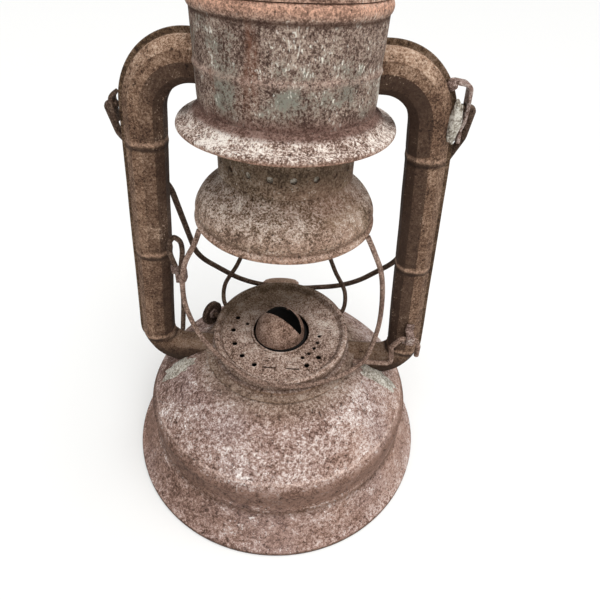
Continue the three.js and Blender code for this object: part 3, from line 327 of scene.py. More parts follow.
def lathe(loop, segments):
    """Turns a closed loop of (radius, height) about Z."""
    loop = anticlockwise(loop)
    verts, rings = [], []
    for r, z in loop:
        if r < 1e-6:
            rings.append([len(verts)] * segments)
            verts.append(Vector((0, 0, z)))
            continue
        rings.append(list(range(len(verts), len(verts) + segments)))
        for k in range(segments):
            a = 2 * math.pi * k / segments
            verts.append(Vector((r * math.cos(a), r * math.sin(a), z)))
    faces = []
    for lower, upper in zip(rings, rings[1:] + rings[:1]):
        for k in range(segments):
            j = (k + 1) % segments
            face = [lower[k], lower[j], upper[j], upper[k]]
            unique = [v for i, v in enumerate(face) if v not in face[:i]]
            if len(unique) > 2:
                faces.append(unique)
    return verts, faces


def offset(profile, distance):
    """Moves a profile that runs from bottom to top towards its inner side."""
    points = [Vector(p) for p in profile]
    normals = []
    for a, b in zip(points, points[1:]):
        d = (b - a).normalized()
        normals.append(Vector((-d.y, d.x)))
    moved = []
    for i, p in enumerate(points):
        before, after = normals[max(0, i - 1)], normals[min(i, len(normals) - 1)]
        mean = (before + after).normalized()
        q = p + mean * (distance / max(0.6, mean.dot(after)))
        moved.append((max(0.0, q.x), q.y))
    return moved


def shell(profile):
    return profile + offset(profile, SHEET)[::-1]


def flat(path):
    return [(p.x, p.y) for p in path]


def smooth(points, steps):
    """A centripetal curve through the points."""
    pts = [Vector(p) for p in points]
    pts = [2 * pts[0] - pts[1]] + pts + [2 * pts[-1] - pts[-2]]
    spans = len(pts) - 3
    result = []
    for k in range(steps + 1):
        t = k / steps * spans
        i = min(int(t), spans - 1)
        w = t - i
        p0, p1, p2, p3 = pts[i:i + 4]
        d0, d1, d2 = ((b - a).length ** 0.5 for a, b in ((p0, p1), (p1, p2), (p2, p3)))
        t1 = ((p1 - p0) / d0 - (p2 - p0) / (d0 + d1) + (p2 - p1) / d1) * d1
        t2 = ((p2 - p1) / d1 - (p3 - p1) / (d1 + d2) + (p3 - p2) / d2) * d1
        c2 = -3 * p1 + 3 * p2 - 2 * t1 - t2
        c3 = 2 * p1 - 2 * p2 + t1 + t2
        result.append(p1 + t1 * w + c2 * w * w + c3 * w ** 3)
    return result


def rounded(corners, radius, steps):
    """Rounds the inner corners of a polyline with arcs."""
    pts = [Vector(p) for p in corners]
    path = [pts[0]]
    for i in range(1, len(pts) - 1):
        back, ahead = pts[i - 1] - pts[i], pts[i + 1] - pts[i]
        half = back.angle(ahead) / 2
        bend = radius[i - 1] if isinstance(radius, (list, tuple)) else radius
        before = (0.98 if i == 1 else 0.5) * back.length
        after = (0.98 if i == len(pts) - 2 else 0.5) * ahead.length
        reach = min(bend / math.tan(half), before, after)
        start = pts[i] + back.normalized() * reach
        stop = pts[i] + ahead.normalized() * reach
        middle = (back.normalized() + ahead.normalized()).normalized()
        centre = pts[i] + middle * (reach / math.cos(half))
        a, b = start - centre, stop - centre
        turn = a.angle(b)
        for k in range(steps + 1):
            t = k / steps
            arm = (a * math.sin((1 - t) * turn) + b * math.sin(t * turn)) / math.sin(turn)
            path.append(centre + arm)
    path.append(pts[-1])
    return path


def refine(path, step):
    """Adds points so that no stretch of the path is longer than step."""
    result = [path[0]]
    for a, b in zip(path, path[1:]):
        count = max(1, math.ceil((b - a).length / step))
        result += [a.lerp(b, k / count) for k in range(1, count + 1)]
    return result


def sweep(path, outline, normal, bore=None, shape=None):
    """Runs an outline, and a bore if there is one, along a path."""
    outline = anticlockwise(outline)
    bore = anticlockwise(bore) if bore else []
    size = len(outline) + len(bore)
    normal = Vector(normal)
    verts, faces = [], []
    for i, p in enumerate(path):
        tangent = (path[min(i + 1, len(path) - 1)] - path[max(i - 1, 0)]).normalized()
        normal = (normal - tangent * normal.dot(tangent)).normalized()
        side = tangent.cross(normal)
        for which, loop in ((0, outline), (1, bore)):
            for u, v in (shape(loop, i, which) if shape else loop):
                verts.append(p + normal * u + side * v)
    for ring in range(len(path) - 1):
        for start, count, flip in ((0, len(outline), False), (len(outline), len(bore), True)):
            for k in range(count):
                a = ring * size + start + k
                b = ring * size + start + (k + 1) % count
                face = [a, b, b + size, a + size]
                faces.append(face[::-1] if flip else face)
    last = (len(path) - 1) * size
    if not bore:
        faces.append(list(range(len(outline)))[::-1])
        faces.append([last + k for k in range(len(outline))])
        return verts, faces
    for base, flip in ((0, False), (last, True)):
        # Outline and bore have the same number of points when a piece is hollow.
        for k in range(len(outline)):
            j = (k + 1) % len(outline)
            face = [base + k, base + len(outline) + k, base + len(outline) + j, base + j]
            faces.append(face[::-1] if flip else face)
    return verts, faces


def circle(radius, sides):
    return [(radius * math.cos(2 * math.pi * (k + 0.5) / sides),
             radius * math.sin(2 * math.pi * (k + 0.5) / sides)) for k in range(sides)]


def strip(width, height, corner=0.35, steps=3):
    """A rectangle with rounded corners."""
    points = []
    for cx, cy, start in ((1, 1, 0), (-1, 1, 90), (-1, -1, 180), (1, -1, 270)):
        for k in range(steps + 1):
            a = math.radians(start + 90 * k / steps)
            points.append((cx * (width / 2 - corner) + corner * math.cos(a),
                           cy * (height / 2 - corner) + corner * math.sin(a)))
    return points


def rod(start, stop, radius, sides):
    start, stop = Vector(start), Vector(stop)
    along = stop - start
    across = (1, 0, 0) if abs(along.z) > 0.9 * along.length else (0, 0, 1)
    return sweep([start, stop], circle(radius, sides), across)


def wire(path, diameter):
    """A round wire with softened ends."""
    first = (path[1] - path[0]).normalized()
    across = (1, 0, 0) if abs(first.z) > 0.9 else (0, 0, 1)

    def beside(end, following):
        return end.lerp(following, min(1.0, WIRE_END / (following - end).length))
    path = [path[0], beside(path[0], path[1])] + path[1:-1] + [beside(path[-1], path[-2]), path[-1]]

    def shape(loop, i, _):
        end = 0.8 if i in (0, len(path) - 1) else 1.0
        return [(u * end, v * end) for u, v in loop]
    return sweep(path, circle(diameter / 2, WIRE_SIDES), across, shape=shape)


LONG_WAVE, SHORT_WAVE, WAVE_SHIFT, DENT_FADE = 0.021, 0.055, Vector((7.1, 3.3, 1.7)), 25


def dented(p, amount):
    """Slow waves that a hard life leaves in thin sheet; none at the ground."""
    low = noise.noise_vector(p * LONG_WAVE)
    high = noise.noise_vector(p * SHORT_WAVE + WAVE_SHIFT)
    return p + (low + high * 0.5) * (amount * min(1.0, max(0.0, p.z / DENT_FADE)))


def linked(name, data):
    obj = bpy.data.objects.new(name, data)
    bpy.context.scene.collection.objects.link(obj)
    return obj


def as_object(name, data):
    verts, faces = data
    mesh = bpy.data.meshes.new(name)
    mesh.from_pydata([v * MM for v in verts], [], faces)
    mesh.validate()
    return linked(name, mesh)


def joined(tools):
    verts, faces = [], []
    for tool_verts, tool_faces in tools:
        base = len(verts)
        verts += tool_verts
        faces += [[base + i for i in face] for face in tool_faces]
    return verts, faces


def cut(obj, tools):
    """Cuts closed tools that don't overlap each other out of an object."""
    cutter = as_object("cutter", joined(tools))
    modifier = obj.modifiers.new("cut", "BOOLEAN")
    modifier.operation = "DIFFERENCE"
    modifier.solver = "EXACT"
    modifier.object = cutter
    bpy.context.view_layer.update()
    graph = bpy.context.evaluated_depsgraph_get()
    made = bpy.data.meshes.new_from_object(obj.evaluated_get(graph))
    obj.modifiers.clear()
    old = obj.data
    obj.data = made
    made.name = obj.name
    bpy.data.meshes.remove(old)
    bpy.data.objects.remove(cutter)


BODY_OF = {n: b for b, ns in frame["record"]["behaviour"]["bodies"].items() for n in ns}


def dress(node, data, material, tools=(), dent=0.0, turn=None, sharp=40, second=None):
    """Makes the fine surface of a node and lets it ride where the node does.

    A second material goes on the faces whose middle passes its test.
    """
    obj = as_object(node + "_skin", data)
    if tools:
        cut(obj, tools)
    if turn:
        obj.data.transform(turn)
    mesh = obj.data
    mesh.materials.clear()
    mesh.materials.append(material)
    if second:
        mesh.materials.append(second[0])
        chosen = [int(second[1](p.center / MM)) for p in mesh.polygons]
        mesh.polygons.foreach_set("material_index", chosen)
    if dent:
        for v in mesh.vertices:
            v.co = dented(v.co / MM, dent) * MM
    mesh.polygons.foreach_set("use_smooth", [True] * len(mesh.polygons))
    mesh.set_sharp_from_angle(angle=math.radians(sharp))
    mesh.update()
    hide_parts(node)
    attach(obj, BODY_OF[node])


# Fount

FOOT_R, FOOT_EDGE, FOOT_TOP = 85.0, 2.4, 19.0
TANK_R, ROLL_FOOT, SHOULDER_Z, SHOULDER_R = 73.0, 31.0, 40.5, 6.0
FLARE_START, FLARE_END = FOOT_R - 1, TANK_R + 0.8
# The dome that the pieces on it are placed by, and the fuller one that shows
DOME_TOP, DOME_BULGE, DOME_RIM = 66.0, 1.25, 70.6
FULL_SHOULDER, FULL_BULGE = 42.0, 1.55
CHAMBER_R, CHAMBER_FLOOR, CHAMBER_TOP, FLANGE_R = 37.5, 51.0, 69.8, 41.0
DECK_WIDTH = 5.5
BURNER_R = 11.6
DOME_EDGE = CHAMBER_R + GAP
DENT = 0.35


def dome_height(r, shoulder_z=SHOULDER_Z, bulge=DOME_BULGE):
    outer = TANK_R - SHOULDER_R / 3
    share = min(1.0, max(0.0, (r - DOME_EDGE) / (outer - DOME_EDGE)))
    return shoulder_z + (DOME_TOP - shoulder_z) * (1 - share ** bulge)


def full_height(r):
    return dome_height(r, FULL_SHOULDER, FULL_BULGE)


def ramp_points(count, function):
    return [function(k / (count - 1)) for k in range(count)]


TUBE_FOOT_Z, TUBE_TOP_Z = 60.0, 209.0
TUBE_TOP_X, TUBE_FOOT_X = 53.1, 68.8
TUBE_TOP_BEND, TUBE_FOOT_BEND = 20.0, 14.0
TUBE_INNER, TUBE_OUTER, TUBE_DEPTH = 8.4, 7.4, 7.8
SEAM_WIDTH, SEAM_HALF = 1.9, 0.8
DRUM_R = 33.2
REACH_IN, DUCT_START = 1.4, 21.0
SIDES = ((-1, "left"), (1, "right"))

tube_half = [
    (-TUBE_INNER, 0.4 * TUBE_DEPTH),
    (-0.66 * TUBE_INNER, 0.88 * TUBE_DEPTH),
    (-0.06 * TUBE_INNER, TUBE_DEPTH),
    (0.46 * TUBE_OUTER, 0.92 * TUBE_DEPTH),
    (0.95 * TUBE_OUTER, 0.4 * TUBE_DEPTH),
]
seam_half = [(TUBE_OUTER, SEAM_HALF), (TUBE_OUTER + SEAM_WIDTH, SEAM_HALF)]


def filleted(outline, radius, steps=3):
    """Rounds the corners of a closed outline a little."""
    points = [Vector(p) for p in outline]
    result = []
    for i, p in enumerate(points):
        before, after = points[i - 1], points[(i + 1) % len(points)]
        result += flat(rounded([before.lerp(p, 0.5), p, p.lerp(after, 0.5)], radius, steps)[1:-1])
    return result


def mirrored(half):
    return half + [(u, -v) for u, v in half][::-1]


def grown(outline, by):
    return [(u * (1 + by / math.hypot(u, v)), v * (1 + by / math.hypot(u, v))) for u, v in outline]


tube_outline = mirrored(tube_half + seam_half)
plain_outline = mirrored(tube_half)


def duct_tools(z, outline, start, stop):
    up = (0, 0, 1 if z > DOME_TOP else -1)
    return [sweep([Vector((s * start, 0, z)), Vector((s * stop, 0, z))], grown(outline, GAP), up)
            for s, _ in SIDES]


foot_ducts = duct_tools(TUBE_FOOT_Z, plain_outline, CHAMBER_R / 2, TUBE_FOOT_X - TUBE_FOOT_BEND / 2)
drum_ducts = duct_tools(TUBE_TOP_Z, tube_outline, DUCT_START, DRUM_R + 2)

FILLER_AZ, FILLER_RADIUS, FILLER_TILT = math.radians(94), 57.0, math.radians(33)
NECK_R, NECK_TOP, NECK_DEPTH = 9.6, 8.0, 7.0
filler_out = Vector((math.cos(FILLER_AZ), math.sin(FILLER_AZ), 0))
filler_axis = filler_out * math.sin(FILLER_TILT) + Vector((0, 0, math.cos(FILLER_TILT)))
filler_point = filler_out * FILLER_RADIUS + Vector((0, 0, dome_height(FILLER_RADIUS)))
filler_turn = Matrix.Translation(filler_point * MM) @ \
    Vector((0, 0, 1)).rotation_difference(filler_axis).to_matrix().to_4x4()

flare = ramp_points(14, lambda t: (FLARE_START + (FLARE_END - FLARE_START) * t,
                                   FOOT_EDGE + (FOOT_TOP - FOOT_EDGE) * t ** 1.3))
shoulder = ramp_points(8, lambda t: (TANK_R - SHOULDER_R * (1 - math.cos(t * math.pi / 4)),
                                     FULL_SHOULDER - SHOULDER_R * (0.9 - math.sin(t * math.pi / 4))))
dome = [(r, full_height(r)) for r in ramp_points(30, lambda t: DOME_RIM + (DOME_EDGE - DOME_RIM) * t)]
fount_outer = [(FOOT_R, 0), (FOOT_R, FOOT_EDGE - 0.8), (FOOT_R - 0.3, FOOT_EDGE - 0.2)] + flare \
    + [(TANK_R + 0.25, FOOT_TOP + 1), (TANK_R, FOOT_TOP + 2.5), (TANK_R, ROLL_FOOT),
       (TANK_R + 0.1, ROLL_FOOT + 3.6), (TANK_R + 0.5, ROLL_FOOT + 4.8), (TANK_R + 0.5, ROLL_FOOT + 5.7),
       (TANK_R + 0.2, ROLL_FOOT + 6.5)] + shoulder[2:] + dome
fount_inner = [(max(r, DOME_EDGE), z) for r, z in offset(fount_outer, SHEET)[3:]]
hem = [(FOOT_R - 2.6, 1.2), (FOOT_R - 2.6, 0)]
filler_drill = rod(filler_point - filler_axis * NECK_DEPTH, filler_point + filler_axis * NECK_TOP,
                   NECK_R + GAP, 48)

DRIVE_AZ, DRIVE_OFFSET, SHAFT_Z, SHAFT_R = math.radians(151), 5.6, 71.7, 1.5
SHAFT_START, KNOB_START, KNOB_R, KNOB_WIDTH, KNOB_HUB = -7.0, 42.4, 7.0, 3.2, 3.4
drive_out = Vector((math.cos(DRIVE_AZ), math.sin(DRIVE_AZ), 0))
drive_side = Vector((-drive_out.y, drive_out.x, 0))


def on_shaft(s):
    return drive_out * s + drive_side * DRIVE_OFFSET + Vector((0, 0, SHAFT_Z))


# Radii where a seat stops being flat and where it ends, and the height above which it is pressed
FILLER_SEAT, KNOB_SEAT, SEAT_FLOOR = (15, 32), (9, 24), 38.0


def seated(data):
    """Presses the dome down to flat seats round the filler and under the knob."""
    knob = on_shaft(KNOB_START + KNOB_WIDTH / 2)

    def share(p, centre, near, far):
        t = min(1.0, max(0.0, (far - math.hypot(p.x - centre.x, p.y - centre.y)) / (far - near)))
        return t * t * (3 - 2 * t)
    verts, faces = data
    for p in verts:
        r = math.hypot(p.x, p.y)
        if p.z > SEAT_FLOOR and r < TANK_R:
            press = max(share(p, filler_point, *FILLER_SEAT), share(p, knob, *KNOB_SEAT))
            p.z -= press * (full_height(r) - dome_height(r))
    return verts, faces


dress("fount_shell", seated(lathe(fount_outer + fount_inner[::-1] + hem, WIDE)), FOUNT,
      foot_ducts + [filler_drill], DENT)

flange_z = DOME_TOP + GAP + 0.1
deck_edge = CHAMBER_R - DECK_WIDTH
dress("air_chamber", lathe([
    (CHAMBER_R, CHAMBER_FLOOR), (CHAMBER_R, flange_z), (FLANGE_R - 0.3, flange_z),
    (FLANGE_R, flange_z + 0.3), (FLANGE_R - 0.2, flange_z + SHEET - 0.1),
    (CHAMBER_R + 1, flange_z + SHEET + 0.1), (CHAMBER_R, flange_z + SHEET + 0.8),
    (CHAMBER_R, CHAMBER_TOP - 0.7), (CHAMBER_R - 0.2, CHAMBER_TOP - 0.2), (CHAMBER_R - 0.7, CHAMBER_TOP),
    (deck_edge, CHAMBER_TOP), (deck_edge, CHAMBER_TOP - SHEET), (CHAMBER_R - SHEET, CHAMBER_TOP - SHEET),
    (CHAMBER_R - SHEET, CHAMBER_FLOOR + SHEET), (BURNER_R + GAP, CHAMBER_FLOOR + SHEET),
    (BURNER_R + GAP, CHAMBER_FLOOR),
], WIDE), FOUNT, foot_ducts, DENT,
    second=(SOOT, lambda p: p.z < CHAMBER_TOP - 0.5 and math.hypot(p.x, p.y) < CHAMBER_R - 0.5))


# Side tubes

FACETS = filleted(tube_outline, 0.7)
BORE_SHARE, SEAM_FOOT, SEAM_FADE = 0.86, 70.0, 6.0
RIB_SWELL, RIB_WIDTH = 0.05, 1.1
GROOVE_DEPTH, GROOVE_WIDTH, GROOVE_AWAY = 0.015, 0.7, 2.4
BORE = [(u * BORE_SHARE if u < TUBE_OUTER else TUBE_OUTER * BORE_SHARE - 0.01 * abs(v), v * BORE_SHARE)
        for u, v in FACETS]


def bump_at(distance, width):
    return math.exp(-(distance / width) ** 2)


def tube(sign):
    corners = [Vector((sign * x, 0, z)) for x, z in (
        (DRUM_R - REACH_IN, TUBE_TOP_Z), (TUBE_TOP_X, TUBE_TOP_Z),
        (TUBE_FOOT_X, TUBE_FOOT_Z), (CHAMBER_R - REACH_IN, TUBE_FOOT_Z))]
    path = refine(rounded(corners, [TUBE_TOP_BEND, TUBE_FOOT_BEND], 24), 0.7)
    foot = min(RIBS)

    def shape(loop, i, which):
        if which:
            return loop
        z = path[i].z
        swell = 1 + sum(RIB_SWELL * bump_at(z - rib, RIB_WIDTH)
                        - GROOVE_DEPTH * bump_at(abs(z - rib) - GROOVE_AWAY, GROOVE_WIDTH) for rib in RIBS)
        seam = max(0.1, 1 - max(0.0, (foot - z) / SEAM_FADE))
        kept = [(TUBE_OUTER + (u - TUBE_OUTER) * seam if u > TUBE_OUTER else u, v) for u, v in loop]
        return [(u if u > 0.5 * TUBE_OUTER else u * (1 + 0.4 * (swell - 1)), v * swell) for u, v in kept]
    return sweep(path, FACETS, (0, 0, 1), BORE, shape)


tube_slope = (TUBE_FOOT_X - TUBE_TOP_X) / (TUBE_TOP_Z - TUBE_FOOT_Z)
bend_x = TUBE_TOP_X - TUBE_TOP_BEND / math.tan(math.pi / 4 + math.atan(tube_slope) / 2)
bend_z = TUBE_TOP_Z - TUBE_TOP_BEND


def on_seam(p):
    """Whether a point of a tube lies on its folded seam."""
    if p.z > bend_z:
        return math.hypot(max(0.0, abs(p.x) - bend_x), p.z - bend_z) - TUBE_TOP_BEND > TUBE_OUTER - 0.1
    return p.z > SEAM_FOOT and abs(p.x) - TUBE_TOP_X - (TUBE_TOP_Z - p.z) * tube_slope > TUBE_OUTER - 0.1


for sign, side in SIDES:
    dress(side + "_tube", tube(sign), TUBE, dent=DENT, sharp=50, second=(SEAM, on_seam))


# Canopy

DRUM_FOOT, DRUM_TOP = 193.2, 230.0
BEAD, BEAD_Z, BAND, BAND_Z = 1.0, 227.2, 0.6, 209.4
drum_side = [(DRUM_R - 0.8, DRUM_FOOT), (DRUM_R - 0.2, DRUM_FOOT + 4), (DRUM_R, DRUM_FOOT + 10)]
drum_band = ramp_points(11, lambda t: (DRUM_R + BAND * math.sin(t * math.pi) ** 2, BAND_Z - 1.8 + 3.6 * t))
drum_bead = ramp_points(15, lambda t: (DRUM_R + 0.1 + (BEAD - 0.1) * math.sin(t * math.pi) ** 0.7,
                                       BEAD_Z - 1.6 + 4.2 * t))
drum_outer = flat(smooth(drum_side, 12)) + drum_band + drum_bead + [(DRUM_R + 0.2, DRUM_TOP)]
drum_inner = [(DRUM_R - SHEET, DRUM_TOP), (DRUM_R - SHEET, DRUM_FOOT + 6), (DRUM_R - 0.8 - SHEET, DRUM_FOOT)]
dress("canopy_drum", lathe(drum_outer + drum_inner, WIDE), DRUM, drum_ducts, DENT)

SKIRT_R, LIP_Z, SKIRT_TOP = 41.8, 188.6, 195.2
seat = DRUM_R - 0.6
skirt_loop = flat(smooth([
    (seat, SKIRT_TOP), (seat + 2.6, SKIRT_TOP - 1.8), (seat + 5.6, SKIRT_TOP - 4.6),
    (SKIRT_R - 0.5, LIP_Z + 1.2), (SKIRT_R, LIP_Z), (SKIRT_R - 0.7, LIP_Z - 1),
    (SKIRT_R - 1.5, LIP_Z - 0.4), (SKIRT_R - 1.9, LIP_Z + 0.8), (seat + 5, SKIRT_TOP - 5.6),
    (seat + 2, SKIRT_TOP - 3), (seat, SKIRT_TOP - 2)], 60))
dress("canopy_skirt", lathe(skirt_loop, WIDE), SKIRT, dent=DENT)

DOME_RISE, CHIMNEY_R, CHIMNEY_FOOT = 14.6, 20.0, 191.0
dome_seat = DRUM_TOP + GAP
dome_span = DRUM_R - CHIMNEY_R - SHEET
dress("canopy_dome", lathe(shell(ramp_points(24, lambda t: (
    DRUM_R + 0.2 - dome_span * t ** 1.6, dome_seat + DOME_RISE * math.sin(t * math.pi / 2)))), WIDE),
    DRUM, dent=DENT)
dress("inner_chimney", lathe(shell([(CHIMNEY_R, CHIMNEY_FOOT), (CHIMNEY_R, dome_seat + DOME_RISE)]), SMALL),
      DRUM)


VENT_REACH = 2


def vents(count, z, r, hole, sides):
    """Drills for a ring of holes in a wall of radius r."""
    tools = []
    for k in range(count):
        a = 2 * math.pi * (k + 0.5) / count
        out = Vector((math.cos(a), math.sin(a), 0))
        lift = Vector((0, 0, z))
        tools.append(rod(out * (r - VENT_REACH) + lift, out * (r + VENT_REACH) + lift, hole, sides))
    return tools


CROWN_R, CROWN_TOP = 22.0, 261.4
CROWN_VENTS, CROWN_VENT_Z, CROWN_VENT_R = 10, 251.0, 2.4
crown_foot = dome_seat + DOME_RISE + GAP
dress("crown_collar", lathe(shell([(CROWN_R, crown_foot), (CROWN_R, CROWN_TOP)]), WIDE), DRUM,
      vents(CROWN_VENTS, CROWN_VENT_Z, CROWN_R, CROWN_VENT_R, 24), DENT)
CAP_R, CAP_LIP, CAP_HEIGHT, CAP_START = 26.4, 255.0, 17.8, 0.12


def cap_arc(t):
    angle = (CAP_START + (1 - CAP_START) * t) * math.pi / 2
    return (CAP_R * math.cos(angle), CAP_LIP + CAP_HEIGHT * math.sin(angle))


cap_edge = [(CAP_R - 0.6, CAP_LIP), (CAP_R - 0.1, CAP_LIP + 0.8), (CAP_R, CAP_LIP + 1.6)]
dress("chimney_cap", lathe(shell(cap_edge + ramp_points(24, cap_arc)), WIDE), DRUM, dent=DENT)


# Globe holder

BELL_R, BELL_LIP, NECK_BELL_R, NECK_BELL_Z, NECK_BELL_TOP = 38.9, 148.0, 26.2, 168.0, 172.0
COLLAR_TOP, COLLAR_VENTS, COLLAR_VENT_Z, COLLAR_VENT_R = 187.0, 20, 176.3, 1.3
rise = NECK_BELL_Z - BELL_LIP
bell_profile = flat(smooth([
    (BELL_R - 1.4, BELL_LIP), (BELL_R - 0.2, BELL_LIP + 0.4), (BELL_R, BELL_LIP + 1.6),
    (BELL_R - 1.3, BELL_LIP + 3.2), (BELL_R - 0.7, BELL_LIP + 0.3 * rise),
    (BELL_R - 2.4, BELL_LIP + 0.5 * rise), (BELL_R - 5.2, BELL_LIP + 0.68 * rise),
    (NECK_BELL_R + 2, BELL_LIP + 0.86 * rise), (NECK_BELL_R, NECK_BELL_Z),
    (NECK_BELL_R, NECK_BELL_TOP)], 54))
dress("bell", lathe(shell(bell_profile), WIDE), BELL, dent=DENT)
collar_r = NECK_BELL_R + GAP + SHEET
dress("bell_collar", lathe(shell([(collar_r, NECK_BELL_Z + 1), (collar_r, COLLAR_TOP)]), WIDE), BELL,
      vents(COLLAR_VENTS, COLLAR_VENT_Z, collar_r, COLLAR_VENT_R, 16), DENT)

PLATE_Z, PLATE_TILT = 76.2, math.radians(6)
HOLE_R, FLOOR_R, PLATE_R, RIM_H, PLATE_SKIRT = 15.0, 31.6, 36.2, 3.4, 2.2
plate_loop = flat(rounded([
    (HOLE_R, 0.3), (HOLE_R, 1.4), (HOLE_R + SHEET, 1.4), (HOLE_R + 1.4, 0), (FLOOR_R, 0),
    (FLOOR_R + 1.6, RIM_H - 0.6), (FLOOR_R + 2.9, RIM_H), (PLATE_R - 0.4, RIM_H - 0.8),
    (PLATE_R, 0.2), (PLATE_R, -PLATE_SKIRT), (PLATE_R - SHEET, -PLATE_SKIRT),
    (PLATE_R - SHEET, 0.2), (PLATE_R - 1.3, RIM_H - 1.5), (FLOOR_R + 2.7, RIM_H - 1),
    (FLOOR_R + 0.6, -SHEET), (HOLE_R + 0.7, -SHEET), (HOLE_R, 0.3)], 0.5, 4))[:-1]

# The holes that show as open: radius of their ring, their own radius, and where they are in degrees
OPEN_HOLES = (
    (26, 1.4, (162, 182, 203, 223, 242, 304, 322)),
    (20.8, 1.1, (306, 318, 330.5, 342, 355)),
    (19.4, 1.1, (168,)),
)
THROUGH, SCORED = 2, 0.5
plate_tools = []
for ring, hole, places in OPEN_HOLES:
    for a in map(math.radians, places):
        x, y = ring * math.cos(a), ring * math.sin(a)
        plate_tools.append(rod((x, y, -THROUGH), (x, y, THROUGH), hole, 16))


def slit(x, y, half_x, half_y, depth):
    """A straight cut in the plate's floor."""
    plate_tools.append(sweep([Vector((x, y, -depth)), Vector((x, y, THROUGH))], [
        (-half_x, -half_y), (half_x, -half_y), (half_x, half_y), (-half_x, half_y)], (1, 0, 0)))


TABS_X, TAB_HALF = (-4.6, 7.6), 3.3
TAB_SLIT_Y, TAB_FOLD_Y, TAB_SIDE_Y = -24.3, -20.2, -21.7
for x in TABS_X:
    slit(x, TAB_SLIT_Y, 3.4, 0.45, THROUGH)
    slit(x, TAB_FOLD_Y, 2.8, 0.3, SCORED)
    slit(x - TAB_HALF, TAB_SIDE_Y, 0.3, 1.8, SCORED)
    slit(x + TAB_HALF, TAB_SIDE_Y, 0.3, 1.8, SCORED)
plate_turn = Matrix.Translation((0, 0, PLATE_Z * MM)) @ Matrix.Rotation(PLATE_TILT, 4, "X")
dress("globe_plate", lathe(plate_loop, WIDE), PLATE, plate_tools, turn=plate_turn)

GUARD_D = 2.4
LEVER_D, LEVER_Y, LEVER_Z, LEVER_CRANK = 2.6, -12.5, 88.0, 18.6
rim_reach = PLATE_R + GUARD_D / 2 + 0.6
guard_end, rear_end = BELL_LIP - GAP - 0.9, BELL_LIP - GAP - 0.3
lever_rest = LEVER_Z - LEVER_CRANK + (LEVER_D + GUARD_D) / 2 + GAP


def around_rim(degrees, z):
    a = math.radians(degrees)
    return (rim_reach * math.cos(a), rim_reach * math.sin(a), z)


dress("front_guard", wire(smooth([
    (-34.6, -15.5, guard_end), (-37.5, -15, 139.5), (-42.6, -15.5, 129.5), (-45, -16, 118), (-45, -15, 101),
    (-38, -20, 88),
    around_rim(-130, 81), around_rim(-105, 78), around_rim(-80, 76), around_rim(-55, 73),
    (36, -22, lever_rest - 0.6), (44, -LEVER_D + LEVER_Y, lever_rest + 0.3), (48.5, -12, 90),
    (48.3, -12, 108), (45, -12, 127.5), (40, -12.3, 139), (36, -12.5, guard_end)], 150), GUARD_D), PALE_WIRE)
for sign, side in SIDES:
    dress("rear_guard_" + side, wire(smooth([
        (sign * 17, 33.4, rear_end), (sign * 21, 35.5, 114), (sign * 28, 33.5, 95), (sign * 34.6, 26.5, 85),
        (sign * 34.6, 21, 77.4), (sign * 31.5, 17.5, PLATE_Z - 2.1)], 70), GUARD_D), DARK_WIRE)


# Burner

BURNER_TOP, CONE_R, CONE_H = 76.0, 13.2, 14.4
cone_foot = BURNER_TOP + 2 * GAP
cone_place = Vector((-0.6, -1.1, cone_foot))
SLOT_AZ, SLOT_HALF, SLOT_NEAR, SLOT_FAR, SLOT_SHIFT = math.radians(148), 12.4, 4.0, 5.8, -0.8
slot_outline = [(SLOT_HALF * u, (SLOT_NEAR if v > 0 else SLOT_FAR) * v + SLOT_SHIFT)
                for u, v in circle(1, 48)]
flame_slot = sweep([Vector((0, 0, CONE_H / 5)), Vector((0, 0, 2 * CONE_H))], slot_outline,
                   (math.cos(SLOT_AZ), math.sin(SLOT_AZ), 0))


def inside_cone(p):
    q = p - cone_place
    return math.hypot(q.x, q.y, q.z * CONE_R / CONE_H) < CONE_R - 0.4


dress("burner_cone", lathe(shell(ramp_points(28, lambda t: (
    CONE_R * math.cos(t * math.pi / 2), CONE_H * math.sin(t * math.pi / 2)))), SMALL), BURNER,
    [flame_slot], turn=Matrix.Translation(cone_place * MM), second=(SOOT, inside_cone))
knob_turn = Matrix.Translation(on_shaft(KNOB_START) * MM) @ \
    Vector((0, 0, 1)).rotation_difference(drive_out).to_matrix().to_4x4()
knob_profile = [(0, 0), (2.6, 0), (2.8, 1.1), (KNOB_R - 1.2, 0.7), (KNOB_R - 0.3, 0.1), (KNOB_R, 0.5),
                (KNOB_R, KNOB_WIDTH - 0.5), (KNOB_R - 0.4, KNOB_WIDTH), (KNOB_R - 1.4, KNOB_WIDTH - 0.4),
                (2.4, KNOB_WIDTH - 1), (0, KNOB_WIDTH - 1)]
dress("wick_knob", lathe(knob_profile, SMALL), DARK_WIRE, turn=knob_turn,
      second=(STRAP, lambda p: (p - on_shaft(KNOB_START)).cross(drive_out).length < KNOB_HUB))
dress("wick_shaft", rod(on_shaft(SHAFT_START), on_shaft(KNOB_START - GAP), SHAFT_R, 24), DARK_WIRE)


# Filler

dress("filler_neck", lathe(shell([(NECK_R, -NECK_DEPTH), (NECK_R, NECK_TOP)]), SMALL), FOUNT,
      turn=filler_turn)
CAP_FOOT, CAP_ROOF, CAP_CROWN, CAP_OUT = 2.8, 1.1, 2.0, 12.0
FLUTES, FLUTE, GASKET = 24, 0.25, 1.2
ceiling = NECK_TOP + GAP + GASKET + GAP
roof = ceiling + CAP_ROOF


def fluted():
    points = []
    for k in range(8 * FLUTES):
        a = 2 * math.pi * k / (8 * FLUTES)
        r = CAP_OUT - FLUTE + FLUTE * math.cos(FLUTES * a)
        points.append((r * math.cos(a), r * math.sin(a)))
    return points


